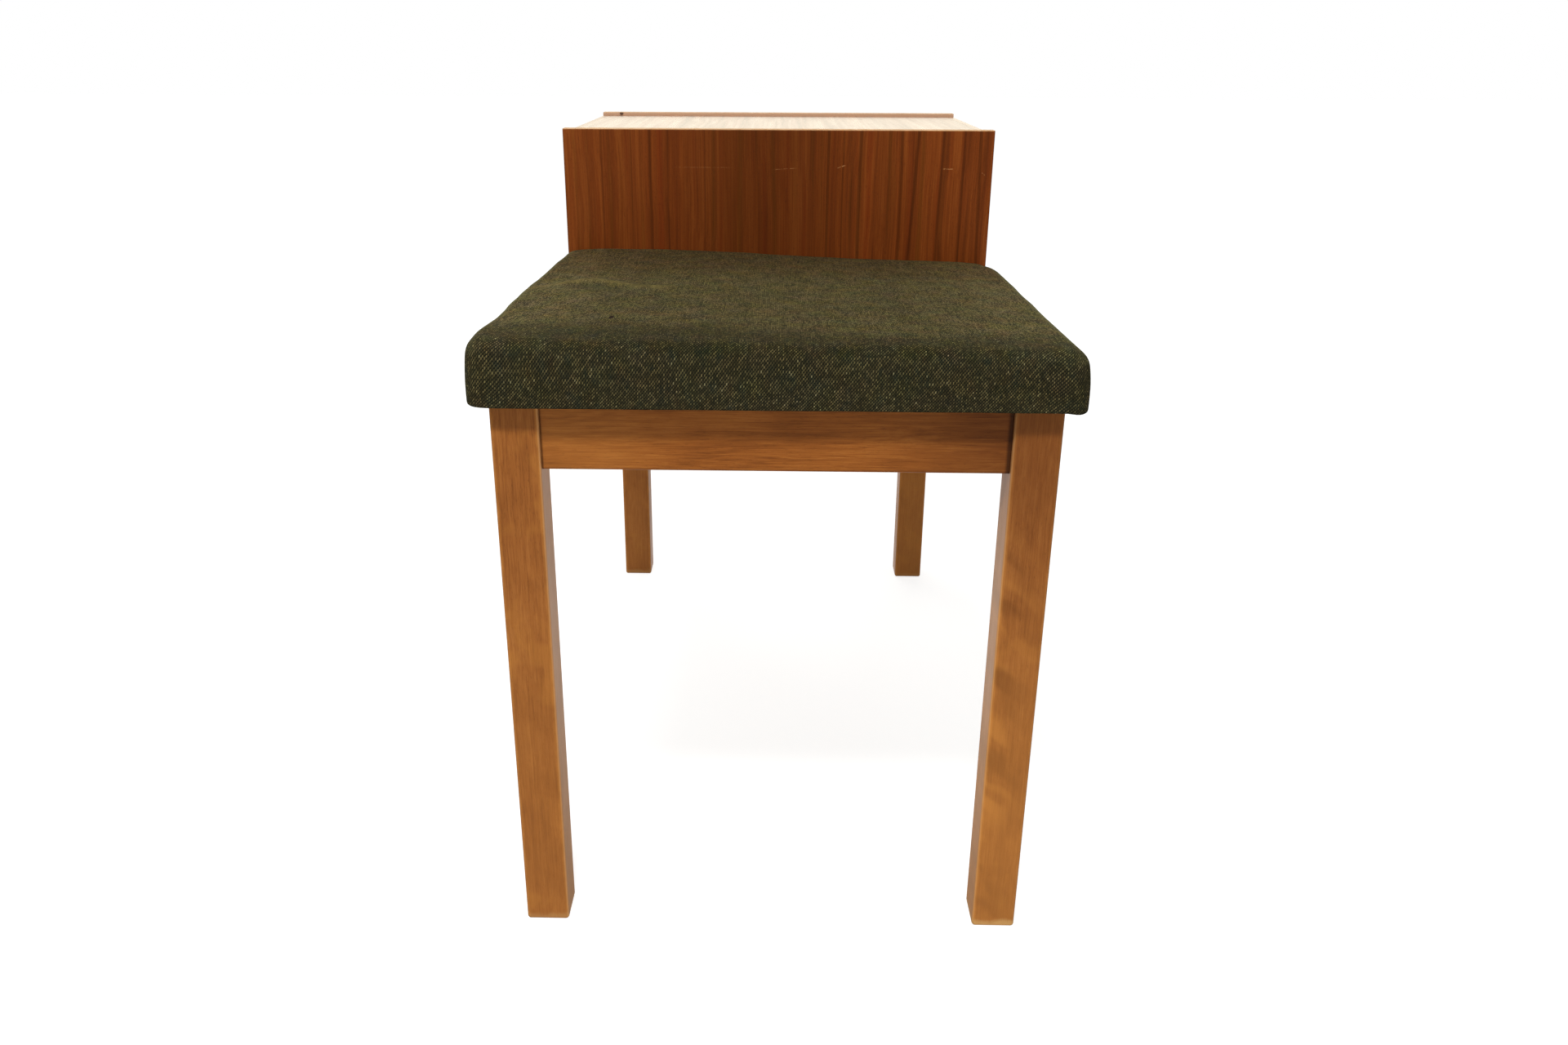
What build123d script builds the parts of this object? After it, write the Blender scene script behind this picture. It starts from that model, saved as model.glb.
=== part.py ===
from build123d import *
import os
from math import atan, cos, sin, sqrt

# Telephone bench: a padded seat and a small cabinet with one drawer, on a four-legged frame.
# Millimetres. +X runs from the cabinet to the seat, the drawer opens towards -Y, +Z is up.
# The origin is on the floor under the middle of the whole bench.

# The whole bench
LENGTH = 670
DEPTH = 370
LEG_HEIGHT = 385
CABINET_LENGTH = 280
CABINET_HEIGHT = 136
SEAT_HEIGHT = 38                # padded seat above the frame, at the crown

# Frame of legs, rails and aprons
LEG = 30
LEG_ARRIS = 2.5
FOOT_ARRIS = 2.2
OVERHANG = 10                   # seat and cabinet past the legs, at the sides and the seat end
OVERHANG_CABINET_END = 14
RAIL_HEIGHT = 43
RAIL_THICKNESS = 20
RAIL_RECESS = 4                 # rail faces behind the leg faces
RAIL_ARRIS = 2
CROSS_RAIL_CABINET = 32         # how far the cross rail reaches under the cabinet
CROSS_RAIL_SEAT = 22            # and under the seat
CARRIER_HEIGHT = 25             # height of the cross rail and the corner blocks
BLOCK_NEAR = 14                 # a corner block's start along each rail, from the corner
BLOCK_FAR = 48                  # and its end

# Seat
SEAT_GAP = 0.5                  # between the cover and the cabinet
BOARD = 12
FABRIC = 1.5
SEAT_CORNER = 14                # corner radius in plan
SIDE_LEAN = 1.5                 # how far the padded sides lean in
SIDE_DRAW = 1.5                 # how far each side is drawn in between its corners
SEAT_ROLL = 12                  # radius of the rolled top edge
CROWN = 3.5                     # fall from the middle of the seat to its corners
FABRIC_MARGIN = 46              # cover turned under the board

# Cabinet
PANEL = 16                      # end panels and top
LIP = 3                         # end panels above the top panel
ARRIS = 0.8
TOP_STRIP = 8
STRIP_ARRIS = 1.5
BOTTOM = 12
BOTTOM_SETBACK = 2
BACK_PANEL = 6
BACK_INSET = 10                 # back panel in from the cabinet's rear edges
BACK_GROOVE = 5                 # depth of the grooves that hold it

# Drawer
DRAWER_FRONT = 16
DRAWER_SETBACK = 2
DRAWER_GAP = 1.5                # around the drawer front
DRAWER_SIDE = 12
DRAWER_BACK = 10
DRAWER_FLOOR = 4
DRAWER_LENGTH = 343             # from the face of the front to the end of the sides
SIDE_LIFT = 8                   # side's lower edge above the cabinet bottom
SIDE_HEIGHT = 87
FLOOR_LIFT = 8                  # drawer floor above the lower edge of the sides
FLOOR_GROOVE = 5
BACK_DROP = 6                   # drawer back below the top edge of the sides
RUNNER = 8
RUNNER_HEIGHT = 10
RUNNER_LIFT = 46                # runner's underside above the cabinet bottom
RUNNER_FRONT, RUNNER_REAR = -145, 165
RUNNER_PLAY = 0.3
PULL_LENGTH, PULL_HEIGHT = 116, 30
PULL_DEPTH = 12                 # how deep the finger pull is let into the drawer front
PULL_PROUD = 1
PULL_ARRIS = 0.8
PULL_RIM = 6
PULL_HOLLOW = 9.5               # depth of the hollow for the fingers
PULL_LIP = 5                    # how far the lip hangs over the hollow
PULL_LIP_THICKNESS = 4

# Fasteners
DOWEL_R, DOWEL_LENGTH = 4, 30
DOWEL_IN_LEG = 11
DOWEL_ROWS = (11, 31)           # above the lower edge of a rail
THIN_DOWEL_R = 3
THIN_DOWEL_IN_PANEL = 10
CABINET_DOWEL_ROWS = (-130, 0, 130)
DRAWER_DOWEL_ROWS = (27, 72)    # above the lower edge of a drawer side
SCREW_R, SCREW_HEAD_R = 2, 4
SCREW_HEAD = 2.4
SCREW_SLOT = 0.8
SCREW_CLEARANCE = 12            # open hole above a sunk screw head
FRAME_SCREW, BLOCK_SCREW, RUNNER_SCREW = 35, 26, 20
BLOCK_SCREW_AT = 17             # upright screw in a corner block, from both rails
BLOCK_SCREW_SIDE = 32           # level screw in a corner block, along the other rail
BLOCK_SCREW_DEPTH = 11          # wood left between its head and the rail
SEAT_SCREW_IN, CABINET_SCREW_IN = 11, 24    # cross rail screws, from the cabinet's near face
CROSS_SCREW_ROWS = (-70, 70)
RUNNER_SCREW_ROWS = (-120, 10, 140)
PIN_R, PIN_LENGTH = 0.8, 28
PIN_ROWS = (27, 67)             # above the lower edge of a drawer side
PIN_SHARES = (-0.3, 0, 0.3)     # pins up through the drawer floor, as shares of its width
STAPLE, STAPLE_LEG, STAPLE_WIRE = 10, 8, 0.9
STAPLE_INSET = 7                # staples in from the rails
STAPLE_PITCH = 40
STAPLES_LONG = (0, 240)         # first and last staple beside the long rails, along X
STAPLES_END, STAPLES_CABINET = (-80, 80), (-100, 100)   # on the two short margins, along Y

# Faces and lines that follow from these
SEAT_END, CABINET_END = LENGTH / 2, -LENGTH / 2
BACK, FRONT = DEPTH / 2, -DEPTH / 2
SPLIT = CABINET_END + CABINET_LENGTH        # cabinet's face towards the seat
SEAT_START = SPLIT + SEAT_GAP
SEAT_MID = (SEAT_START + SEAT_END) / 2
LEG_X = {1: SEAT_END - OVERHANG, -1: CABINET_END + OVERHANG_CABINET_END}
LEG_Y = BACK - OVERHANG
RAIL_LOW = LEG_HEIGHT - RAIL_HEIGHT
RAIL_OUT = LEG_Y - RAIL_RECESS
RAIL_IN = RAIL_OUT - RAIL_THICKNESS
CARRIER_LOW = LEG_HEIGHT - CARRIER_HEIGHT
TOP = LEG_HEIGHT + CABINET_HEIGHT
TOP_PANEL = (TOP - LIP - PANEL, TOP - LIP)
BOTTOM_HIGH = LEG_HEIGHT + BOTTOM
INSIDE = (CABINET_END + PANEL, SPLIT - PANEL)
CABINET_MID = (CABINET_END + SPLIT) / 2
DRAWER_FACE = FRONT + DRAWER_SETBACK
DRAWER_INNER = DRAWER_FACE + DRAWER_FRONT   # back of the drawer front
DRAWER_REAR = DRAWER_FACE + DRAWER_LENGTH
DRAWER_X = (INSIDE[0] + DRAWER_GAP, INSIDE[1] - DRAWER_GAP)
DRAWER_FRONT_Z = (BOTTOM_HIGH + DRAWER_GAP, TOP_PANEL[0] - DRAWER_GAP)
DRAWER_MID_Z = sum(DRAWER_FRONT_Z) / 2
SIDE_Z = (BOTTOM_HIGH + SIDE_LIFT, BOTTOM_HIGH + SIDE_LIFT + SIDE_HEIGHT)
FLOOR_Z = (SIDE_Z[0] + FLOOR_LIFT, SIDE_Z[0] + FLOOR_LIFT + DRAWER_FLOOR)
RUNNER_Z = (BOTTOM_HIGH + RUNNER_LIFT, BOTTOM_HIGH + RUNNER_LIFT + RUNNER_HEIGHT)

CORNERS = {"seat_front": (1, -1), "seat_back": (1, 1),
           "cabinet_front": (-1, -1), "cabinet_back": (-1, 1)}
DRAWER_ENDS = {"near": (INSIDE[1], -1), "outer": (INSIDE[0], 1)}   # panel face, way inwards


def box(x, y, z):
    """A box between two values on each axis."""
    pairs = [sorted(pair) for pair in (x, y, z)]
    size = [high - low for low, high in pairs]
    middle = [(low + high) / 2 for low, high in pairs]
    return Pos(*middle) * Box(*size)


def rod(start, direction, radius, length):
    """A cylinder that starts at a point and runs along a direction."""
    return extrude(Plane(start, z_dir=direction) * Circle(radius), length)


def screw_body(head, direction, length, rise=0):
    """A countersunk screw's outline; `rise` carries the head's rim on, as a counterbore does."""
    points = [(SCREW_HEAD_R, 0), (SCREW_R, SCREW_HEAD), (SCREW_R, length - SCREW_R), (0, length)]
    rim = [(0, -rise), (SCREW_HEAD_R, -rise)] if rise else [(0, 0)]
    upright = Plane((0, 0, 0), x_dir=(1, 0, 0), z_dir=(0, -1, 0))
    profile = upright * make_face(Polyline(*rim, *points, close=True))
    return Plane(head, z_dir=direction) * revolve(profile, Axis.Z)


def screw(head, direction, length):
    """A countersunk wood screw with a slot across its head."""
    slot = Plane(head, z_dir=direction) * Box(2 * SCREW_HEAD_R, SCREW_SLOT, SCREW_HEAD)
    return screw_body(head, direction, length) - slot


# ---------------------------------------------------------------- frame

def make_leg(x_side, y_side):
    """A square leg with eased arrises and a rounded foot."""
    x, y = LEG_X[x_side], y_side * LEG_Y
    leg = box((x - x_side * LEG, x), (y - y_side * LEG, y), (0, LEG_HEIGHT))
    leg = fillet(leg.edges().filter_by(Axis.Z), LEG_ARRIS)
    return fillet(leg.faces().sort_by(Axis.Z)[0].edges(), FOOT_ARRIS)


def make_apron(x_side):
    """A short rail between two legs, along Y, with a rounded lower edge."""
    outer = LEG_X[x_side] - x_side * RAIL_RECESS
    inner = outer - x_side * RAIL_THICKNESS
    apron = box((inner, outer), (LEG - LEG_Y, LEG_Y - LEG), (RAIL_LOW, LEG_HEIGHT))
    return fillet(apron.edges().filter_by(Axis.Y).group_by(Axis.Z)[0], RAIL_ARRIS)


def make_rail(y_side):
    """A long rail between two legs, along X, with a rounded lower edge."""
    rail = box((LEG_X[-1] + LEG, LEG_X[1] - LEG), (y_side * RAIL_IN, y_side * RAIL_OUT),
               (RAIL_LOW, LEG_HEIGHT))
    return fillet(rail.edges().filter_by(Axis.X).group_by(Axis.Z)[0], RAIL_ARRIS)


def make_cross_rail():
    """A flat rail across the frame, under the joint between seat and cabinet."""
    return box((SPLIT - CROSS_RAIL_CABINET, SPLIT + CROSS_RAIL_SEAT), (-RAIL_IN, RAIL_IN),
               (CARRIER_LOW, LEG_HEIGHT))


def in_corner(x_side, y_side, along_x, along_y, z):
    """A point given by its distances from the corner where an apron's and a rail's faces meet."""
    corner_x = LEG_X[x_side] - x_side * (RAIL_RECESS + RAIL_THICKNESS)
    return corner_x - x_side * along_x, y_side * (RAIL_IN - along_y), z


def make_block(x_side, y_side):
    """A corner block, glued across the corner behind a leg."""
    reach = [(BLOCK_NEAR, 0), (BLOCK_FAR, 0), (0, BLOCK_FAR), (0, BLOCK_NEAR)]
    outline = [in_corner(x_side, y_side, *point, CARRIER_LOW) for point in reach]
    return extrude(make_face(Polyline(*outline, close=True)), CARRIER_HEIGHT, dir=(0, 0, 1))


def frame_dowels():
    """Dowels that join the aprons and rails to the legs, and the cross rail to the rails."""
    dowels = []
    for x_side, y_side in CORNERS.values():
        x_face, y_face = LEG_X[x_side] - x_side * LEG, y_side * (LEG_Y - LEG)
        x_apron = LEG_X[x_side] - x_side * (RAIL_RECESS + RAIL_THICKNESS / 2)
        y_rail = y_side * (RAIL_IN + RAIL_OUT) / 2
        for row in DOWEL_ROWS:
            z = RAIL_LOW + row
            dowels.append(rod((x_apron, y_face + y_side * DOWEL_IN_LEG, z), (0, -y_side, 0),
                              DOWEL_R, DOWEL_LENGTH))
            dowels.append(rod((x_face + x_side * DOWEL_IN_LEG, y_rail, z), (-x_side, 0, 0),
                              DOWEL_R, DOWEL_LENGTH))
    for y_side in (1, -1):
        for x in (SPLIT - CROSS_RAIL_CABINET + DOWEL_IN_LEG, SPLIT + CROSS_RAIL_SEAT - DOWEL_IN_LEG):
            start = (x, y_side * (RAIL_IN + DOWEL_IN_LEG), (CARRIER_LOW + LEG_HEIGHT) / 2)
            dowels.append(rod(start, (0, -y_side, 0), DOWEL_R, DOWEL_LENGTH))
    return dowels


def block_screw_places(x_side, y_side):
    """Heads and directions of the two level screws in a corner block."""
    z = (CARRIER_LOW + LEG_HEIGHT) / 2
    return [(in_corner(x_side, y_side, BLOCK_SCREW_DEPTH, BLOCK_SCREW_SIDE, z), (x_side, 0, 0)),
            (in_corner(x_side, y_side, BLOCK_SCREW_SIDE, BLOCK_SCREW_DEPTH, z), (0, y_side, 0))]


def upright_screw_places(x_side, cross_x):
    """Heads of the screws up through two corner blocks and the cross rail."""
    places = [in_corner(x_side, y_side, BLOCK_SCREW_AT, BLOCK_SCREW_AT, CARRIER_LOW)
              for y_side in (1, -1)]
    return places + [(cross_x, y, CARRIER_LOW) for y in CROSS_SCREW_ROWS]


# ---------------------------------------------------------------- seat

def seat_outline(z, inset, draw=0):
    """The seat's rounded outline at a height, with each side drawn in between its corners."""
    radius = SEAT_CORNER - min(inset, FABRIC)
    x = (SEAT_END - SEAT_START) / 2 - inset - radius
    y = DEPTH / 2 - inset - radius
    tilt_x, tilt_y = 2 * atan(draw / x), 2 * atan(draw / y)
    diagonal = radius * sqrt(0.5)
    corner = [(x + radius * cos(tilt_y), y - radius * sin(tilt_y)),
              (x + diagonal, y + diagonal),
              (x - radius * sin(tilt_x), y + radius * cos(tilt_x))]
    corners = [[(sx * px, sy * py) for px, py in (corner if sx == sy else reversed(corner))]
               for sx, sy in ((1, 1), (-1, 1), (-1, -1), (1, -1))]
    edges = []
    for here, there in zip(corners, corners[1:] + corners[:1]):
        start, end = Vector(*here[-1]), Vector(*there[0])
        middle = (start + end) / 2
        edges.append(ThreePointArc(*here))
        if draw:
            edges.append(ThreePointArc(start, middle * (1 - draw / middle.length), end))
        else:
            edges.append(Line(start, end))
    return Pos(SEAT_MID, 0, z) * make_face(edges)


def make_board():
    """The plywood board that the padding lies on, one thickness of cover above the frame."""
    return extrude(seat_outline(LEG_HEIGHT + FABRIC, FABRIC), BOARD)


def make_seat_form(inset):
    """The closed form of the seat, upright along the board and crowned above it."""
    base, board_top = LEG_HEIGHT + inset, LEG_HEIGHT + FABRIC + BOARD
    top = LEG_HEIGHT + SEAT_HEIGHT - inset
    upright = extrude(seat_outline(base, inset), board_top - base)
    padded = loft([seat_outline(board_top, inset), seat_outline(top, inset + SIDE_LEAN, SIDE_DRAW)],
                  ruled=True)
    reach = sqrt((SEAT_END - SEAT_MID) ** 2 + (DEPTH / 2) ** 2)
    crown_radius = (reach ** 2 + CROWN ** 2) / (2 * CROWN)
    crown = Pos(SEAT_MID, 0, top - crown_radius) * Rot(90, 0, 0) * Sphere(crown_radius)
    form = (upright + padded) & crown
    return fillet(form.faces().sort_by(Axis.Z)[-1].edges(), SEAT_ROLL - inset)


def make_cover():
    """The fabric cover: a skin round the form, turned under the board and open in the middle."""
    skin = make_seat_form(0) - make_seat_form(FABRIC)
    opening = box((SEAT_START + FABRIC_MARGIN, SEAT_END - FABRIC_MARGIN),
                  (FRONT + FABRIC_MARGIN, BACK - FABRIC_MARGIN),
                  (LEG_HEIGHT - FABRIC, LEG_HEIGHT + FABRIC))
    return skin - opening


def make_staple(x, y, along_x):
    """A wire staple pressed up through the turned-under cover into the board."""
    half, wire = STAPLE / 2, STAPLE_WIRE / 2
    flat = (LEG_HEIGHT - STAPLE_WIRE, LEG_HEIGHT)
    tall = (LEG_HEIGHT - STAPLE_WIRE, LEG_HEIGHT + STAPLE_LEG)
    staple = box((-half, half), (-wire, wire), flat)
    for side in (-1, 1):
        staple += box((side * half, side * (half - STAPLE_WIRE)), (-wire, wire), tall)
    return Pos(x, y, 0) * Rot(0, 0, 0 if along_x else 90) * staple


def staple_row(first, last):
    """Evenly spaced places from the first staple to the last."""
    return range(first, last + 1, STAPLE_PITCH)


def make_staples():
    """Staples along the four turned-under margins, inside the rails and clear of the blocks."""
    y_line = RAIL_IN - STAPLE_INSET
    x_end = LEG_X[1] - RAIL_RECESS - RAIL_THICKNESS - STAPLE_INSET
    x_start = SPLIT + CROSS_RAIL_SEAT + STAPLE_INSET
    lines = [(x, side * y_line, True) for side in (-1, 1) for x in staple_row(*STAPLES_LONG)]
    lines += [(x_end, y, False) for y in staple_row(*STAPLES_END)]
    lines += [(x_start, y, False) for y in staple_row(*STAPLES_CABINET)]
    return [make_staple(*line) for line in lines]


# ---------------------------------------------------------------- cabinet

def make_end_panel(x_face, way):
    """An end panel; its outer face is at x_face, and its outer and upper edges are eased."""
    panel = box((x_face, x_face - way * PANEL), (FRONT, BACK), (LEG_HEIGHT, TOP))
    outer = panel.faces().sort_by(Axis.X)[-1 if way > 0 else 0].edges()
    upper = panel.edges().filter_by(Axis.Y).group_by(Axis.Z)[-1]
    inner_upper = [edge for edge in upper if abs(edge.center().X - x_face) > PANEL / 2]
    return fillet(outer + inner_upper, ARRIS)


def make_top_strip(y_face, way):
    """A solid strip along a long edge of the top panel, rounded outwards."""
    strip = box(INSIDE, (y_face, y_face - way * TOP_STRIP), TOP_PANEL)
    outer = [edge for edge in strip.edges().filter_by(Axis.X)
             if abs(edge.center().Y - y_face) < TOP_STRIP / 2]
    return fillet(outer, STRIP_ARRIS)


def make_back_panel():
    """The back panel, let into grooves all round."""
    return box((INSIDE[0] - BACK_GROOVE, INSIDE[1] + BACK_GROOVE),
               (BACK - BACK_INSET - BACK_PANEL, BACK - BACK_INSET),
               (BOTTOM_HIGH - BACK_GROOVE, TOP_PANEL[0] + BACK_GROOVE))


def cabinet_dowels():
    """Dowels from the end panels into the top and bottom panels."""
    dowels = []
    for x_face, way in DRAWER_ENDS.values():
        for z in (sum(TOP_PANEL) / 2, LEG_HEIGHT + BOTTOM / 2):
            for y in CABINET_DOWEL_ROWS:
                dowels.append(rod((x_face - way * THIN_DOWEL_IN_PANEL, y, z), (way, 0, 0),
                                  THIN_DOWEL_R, DOWEL_LENGTH))
    return dowels


# ---------------------------------------------------------------- drawer

def make_runner(x_face, way, play=0):
    """A hardwood strip that a drawer side's groove slides on; with play, the groove's own shape."""
    rear = DRAWER_REAR + DRAWER_BACK if play else RUNNER_REAR
    return box((x_face, x_face + way * (RUNNER + play)), (RUNNER_FRONT - play, rear),
               (RUNNER_Z[0] - play, RUNNER_Z[1] + play))


def make_drawer_front():
    """The drawer front, with an eased outer face."""
    front = box(DRAWER_X, (DRAWER_FACE, DRAWER_INNER), DRAWER_FRONT_Z)
    return fillet(front.faces().sort_by(Axis.Y)[0].edges(), ARRIS)


def make_drawer_side(x_face, way):
    """A drawer side with the groove that rides on its runner."""
    outer = x_face + way * DRAWER_GAP
    side = box((outer, outer + way * DRAWER_SIDE), (DRAWER_INNER, DRAWER_REAR), SIDE_Z)
    return side - make_runner(x_face, way, RUNNER_PLAY)


def make_drawer_back():
    """The drawer back, between the sides and on the floor."""
    return box((DRAWER_X[0] + DRAWER_SIDE, DRAWER_X[1] - DRAWER_SIDE),
               (DRAWER_REAR - DRAWER_BACK, DRAWER_REAR), (FLOOR_Z[1], SIDE_Z[1] - BACK_DROP))


def make_drawer_floor():
    """The drawer floor, let into grooves in the sides and the front."""
    reach = DRAWER_SIDE - FLOOR_GROOVE
    return box((DRAWER_X[0] + reach, DRAWER_X[1] - reach), (DRAWER_INNER - FLOOR_GROOVE, DRAWER_REAR),
               FLOOR_Z)


def pull_prism(length, height, y_front, y_rear, lift=0):
    """A round-ended prism between two Y values, about the middle of the drawer front."""
    plane = Plane((CABINET_MID, y_rear, DRAWER_MID_Z + lift), x_dir=(1, 0, 0), z_dir=(0, -1, 0))
    return extrude(plane * SlotOverall(length, height), y_rear - y_front)


def make_pull():
    """An inset finger pull: a hollow with a lip along its upper side."""
    front = DRAWER_FACE - PULL_PROUD
    floor = front + PULL_HOLLOW
    body = pull_prism(PULL_LENGTH, PULL_HEIGHT, front, DRAWER_FACE + PULL_DEPTH)
    body = fillet(body.faces().sort_by(Axis.Y)[0].edges(), PULL_ARRIS)
    length, height = PULL_LENGTH - 2 * PULL_RIM, PULL_HEIGHT - 2 * PULL_RIM
    mouth = pull_prism(length - PULL_LIP, height - PULL_LIP, front, floor, -PULL_LIP / 2)
    hollow = pull_prism(length, height, front + PULL_LIP_THICKNESS, floor)
    return body - mouth - hollow


def drawer_dowels():
    """Dowels from the ends of the drawer sides into the front."""
    start = DRAWER_INNER - THIN_DOWEL_IN_PANEL
    return [rod((x_face + way * (DRAWER_GAP + DRAWER_SIDE / 2), start, SIDE_Z[0] + row), (0, 1, 0),
                THIN_DOWEL_R, DOWEL_LENGTH)
            for x_face, way in DRAWER_ENDS.values() for row in DRAWER_DOWEL_ROWS]


def drawer_pins():
    """Pins through the drawer sides and the floor into the drawer back."""
    y = DRAWER_REAR - DRAWER_BACK / 2
    pins = [rod((x_face + way * DRAWER_GAP, y, SIDE_Z[0] + row), (way, 0, 0), PIN_R, PIN_LENGTH)
            for x_face, way in DRAWER_ENDS.values() for row in PIN_ROWS]
    width = DRAWER_X[1] - DRAWER_X[0]
    return pins + [rod((CABINET_MID + share * width, y, FLOOR_Z[0]), (0, 0, 1), PIN_R, PIN_LENGTH)
                   for share in PIN_SHARES]


# ---------------------------------------------------------------- assembly

parts = {}
for name, (x_side, y_side) in CORNERS.items():
    parts["leg_" + name] = make_leg(x_side, y_side)
    parts["corner_block_" + name] = make_block(x_side, y_side)
parts["apron_seat_end"] = make_apron(1)
parts["apron_cabinet_end"] = make_apron(-1)
parts["rail_front"] = make_rail(-1)
parts["rail_back"] = make_rail(1)
parts["cross_rail"] = make_cross_rail()
parts["seat_board"] = make_board()
parts["seat_foam"] = make_seat_form(FABRIC) - parts["seat_board"]
parts["seat_cover"] = make_cover()
parts["cabinet_end_near"] = make_end_panel(SPLIT, 1)
parts["cabinet_end_outer"] = make_end_panel(CABINET_END, -1)
parts["cabinet_top"] = box(INSIDE, (FRONT + TOP_STRIP, BACK - TOP_STRIP), TOP_PANEL)
parts["top_strip_front"] = make_top_strip(FRONT, -1)
parts["top_strip_back"] = make_top_strip(BACK, 1)
parts["cabinet_bottom"] = box(INSIDE, (FRONT + BOTTOM_SETBACK, BACK), (LEG_HEIGHT, BOTTOM_HIGH))
parts["cabinet_back"] = make_back_panel()
parts["drawer_front"] = make_drawer_front()
for name, (x_face, way) in DRAWER_ENDS.items():
    parts["runner_" + name] = make_runner(x_face, way)
    parts["drawer_side_" + name] = make_drawer_side(x_face, way)
parts["drawer_back"] = make_drawer_back()
parts["drawer_bottom"] = make_drawer_floor()
parts["drawer_pull"] = make_pull()

# Grooves and pockets are cut by the pieces that fill them.
for name in ("cabinet_end_near", "cabinet_end_outer", "cabinet_top", "cabinet_bottom"):
    parts[name] -= parts["cabinet_back"]
for name in ("drawer_front", "drawer_side_near", "drawer_side_outer"):
    parts[name] -= parts["drawer_bottom"]
parts["drawer_front"] -= pull_prism(PULL_LENGTH, PULL_HEIGHT, FRONT, DRAWER_FACE + PULL_DEPTH)

# Each group of fasteners, with the names of the pieces it goes into.
RAILS = ["apron_seat_end", "apron_cabinet_end", "rail_front", "rail_back"]
LEGS = ["leg_" + name for name in CORNERS]
BLOCKS = ["corner_block_" + name for name in CORNERS]
SEAT_SCREWS = upright_screw_places(1, SPLIT + SEAT_SCREW_IN)
CABINET_SCREWS = upright_screw_places(-1, SPLIT - CABINET_SCREW_IN)
BLOCK_SCREWS = [place for corner in CORNERS.values() for place in block_screw_places(*corner)]
RUNNER_SCREWS = [((x_face + way * RUNNER, y, sum(RUNNER_Z) / 2), (-way, 0, 0))
                 for x_face, way in DRAWER_ENDS.values() for y in RUNNER_SCREW_ROWS]

groups = {
    "frame_dowels": (frame_dowels(), LEGS + RAILS + ["cross_rail"]),
    "cabinet_dowels": (cabinet_dowels(), ["cabinet_end_near", "cabinet_end_outer", "cabinet_top",
                                          "cabinet_bottom"]),
    "drawer_dowels": (drawer_dowels(), ["drawer_front", "drawer_side_near", "drawer_side_outer"]),
    "drawer_pins": (drawer_pins(), ["drawer_back", "drawer_bottom", "drawer_side_near",
                                    "drawer_side_outer"]),
    "seat_staples": (make_staples(), ["seat_board", "seat_cover"]),
}
screw_groups = {
    "seat_screws": ([(place, (0, 0, 1)) for place in SEAT_SCREWS], FRAME_SCREW,
                    BLOCKS[:2] + ["cross_rail", "seat_cover", "seat_board"]),
    "cabinet_screws": ([(place, (0, 0, 1)) for place in CABINET_SCREWS], FRAME_SCREW,
                       BLOCKS[2:] + ["cross_rail", "cabinet_bottom"]),
    "corner_block_screws": (BLOCK_SCREWS, BLOCK_SCREW, BLOCKS + RAILS),
    "runner_screws": (RUNNER_SCREWS, RUNNER_SCREW, ["runner_near", "runner_outer",
                                                    "cabinet_end_near", "cabinet_end_outer"]),
}

for name, (solids, holders) in groups.items():
    for holder in holders:
        parts[holder] -= solids
    parts[name] = Compound([piece for solid in solids for piece in solid.solids()])

for name, (places, length, holders) in screw_groups.items():
    holes = [screw_body(head, way, length, rise=SCREW_CLEARANCE) for head, way in places]
    for holder in holders:
        parts[holder] -= holes
    screws = [screw(head, way, length) for head, way in places]
    parts[name] = Compound([piece for solid in screws for piece in solid.solids()])

os.makedirs("parts", exist_ok=True)
for name, shape in parts.items():
    export_step(shape, "parts/" + name + ".step")
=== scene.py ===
import math

import bmesh
import bpy
import numpy as np
from mathutils import Matrix, Vector


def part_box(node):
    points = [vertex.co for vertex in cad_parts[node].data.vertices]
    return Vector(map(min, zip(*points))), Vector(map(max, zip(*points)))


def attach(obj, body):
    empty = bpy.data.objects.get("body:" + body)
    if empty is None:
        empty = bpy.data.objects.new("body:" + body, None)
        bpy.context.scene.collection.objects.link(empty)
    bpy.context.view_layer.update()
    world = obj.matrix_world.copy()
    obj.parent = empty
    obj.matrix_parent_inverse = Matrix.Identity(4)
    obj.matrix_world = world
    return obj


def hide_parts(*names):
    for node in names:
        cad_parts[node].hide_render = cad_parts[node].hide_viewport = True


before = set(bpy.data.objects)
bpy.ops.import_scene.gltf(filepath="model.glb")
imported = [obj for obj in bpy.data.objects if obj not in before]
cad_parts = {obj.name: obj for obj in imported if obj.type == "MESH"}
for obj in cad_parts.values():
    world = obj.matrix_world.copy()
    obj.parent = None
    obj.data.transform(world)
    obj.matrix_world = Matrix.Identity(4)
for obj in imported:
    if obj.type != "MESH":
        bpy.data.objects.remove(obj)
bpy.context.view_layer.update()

scene = bpy.context.scene
MM = 0.001


# ------------------------------------------------------------------ node trees

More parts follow.
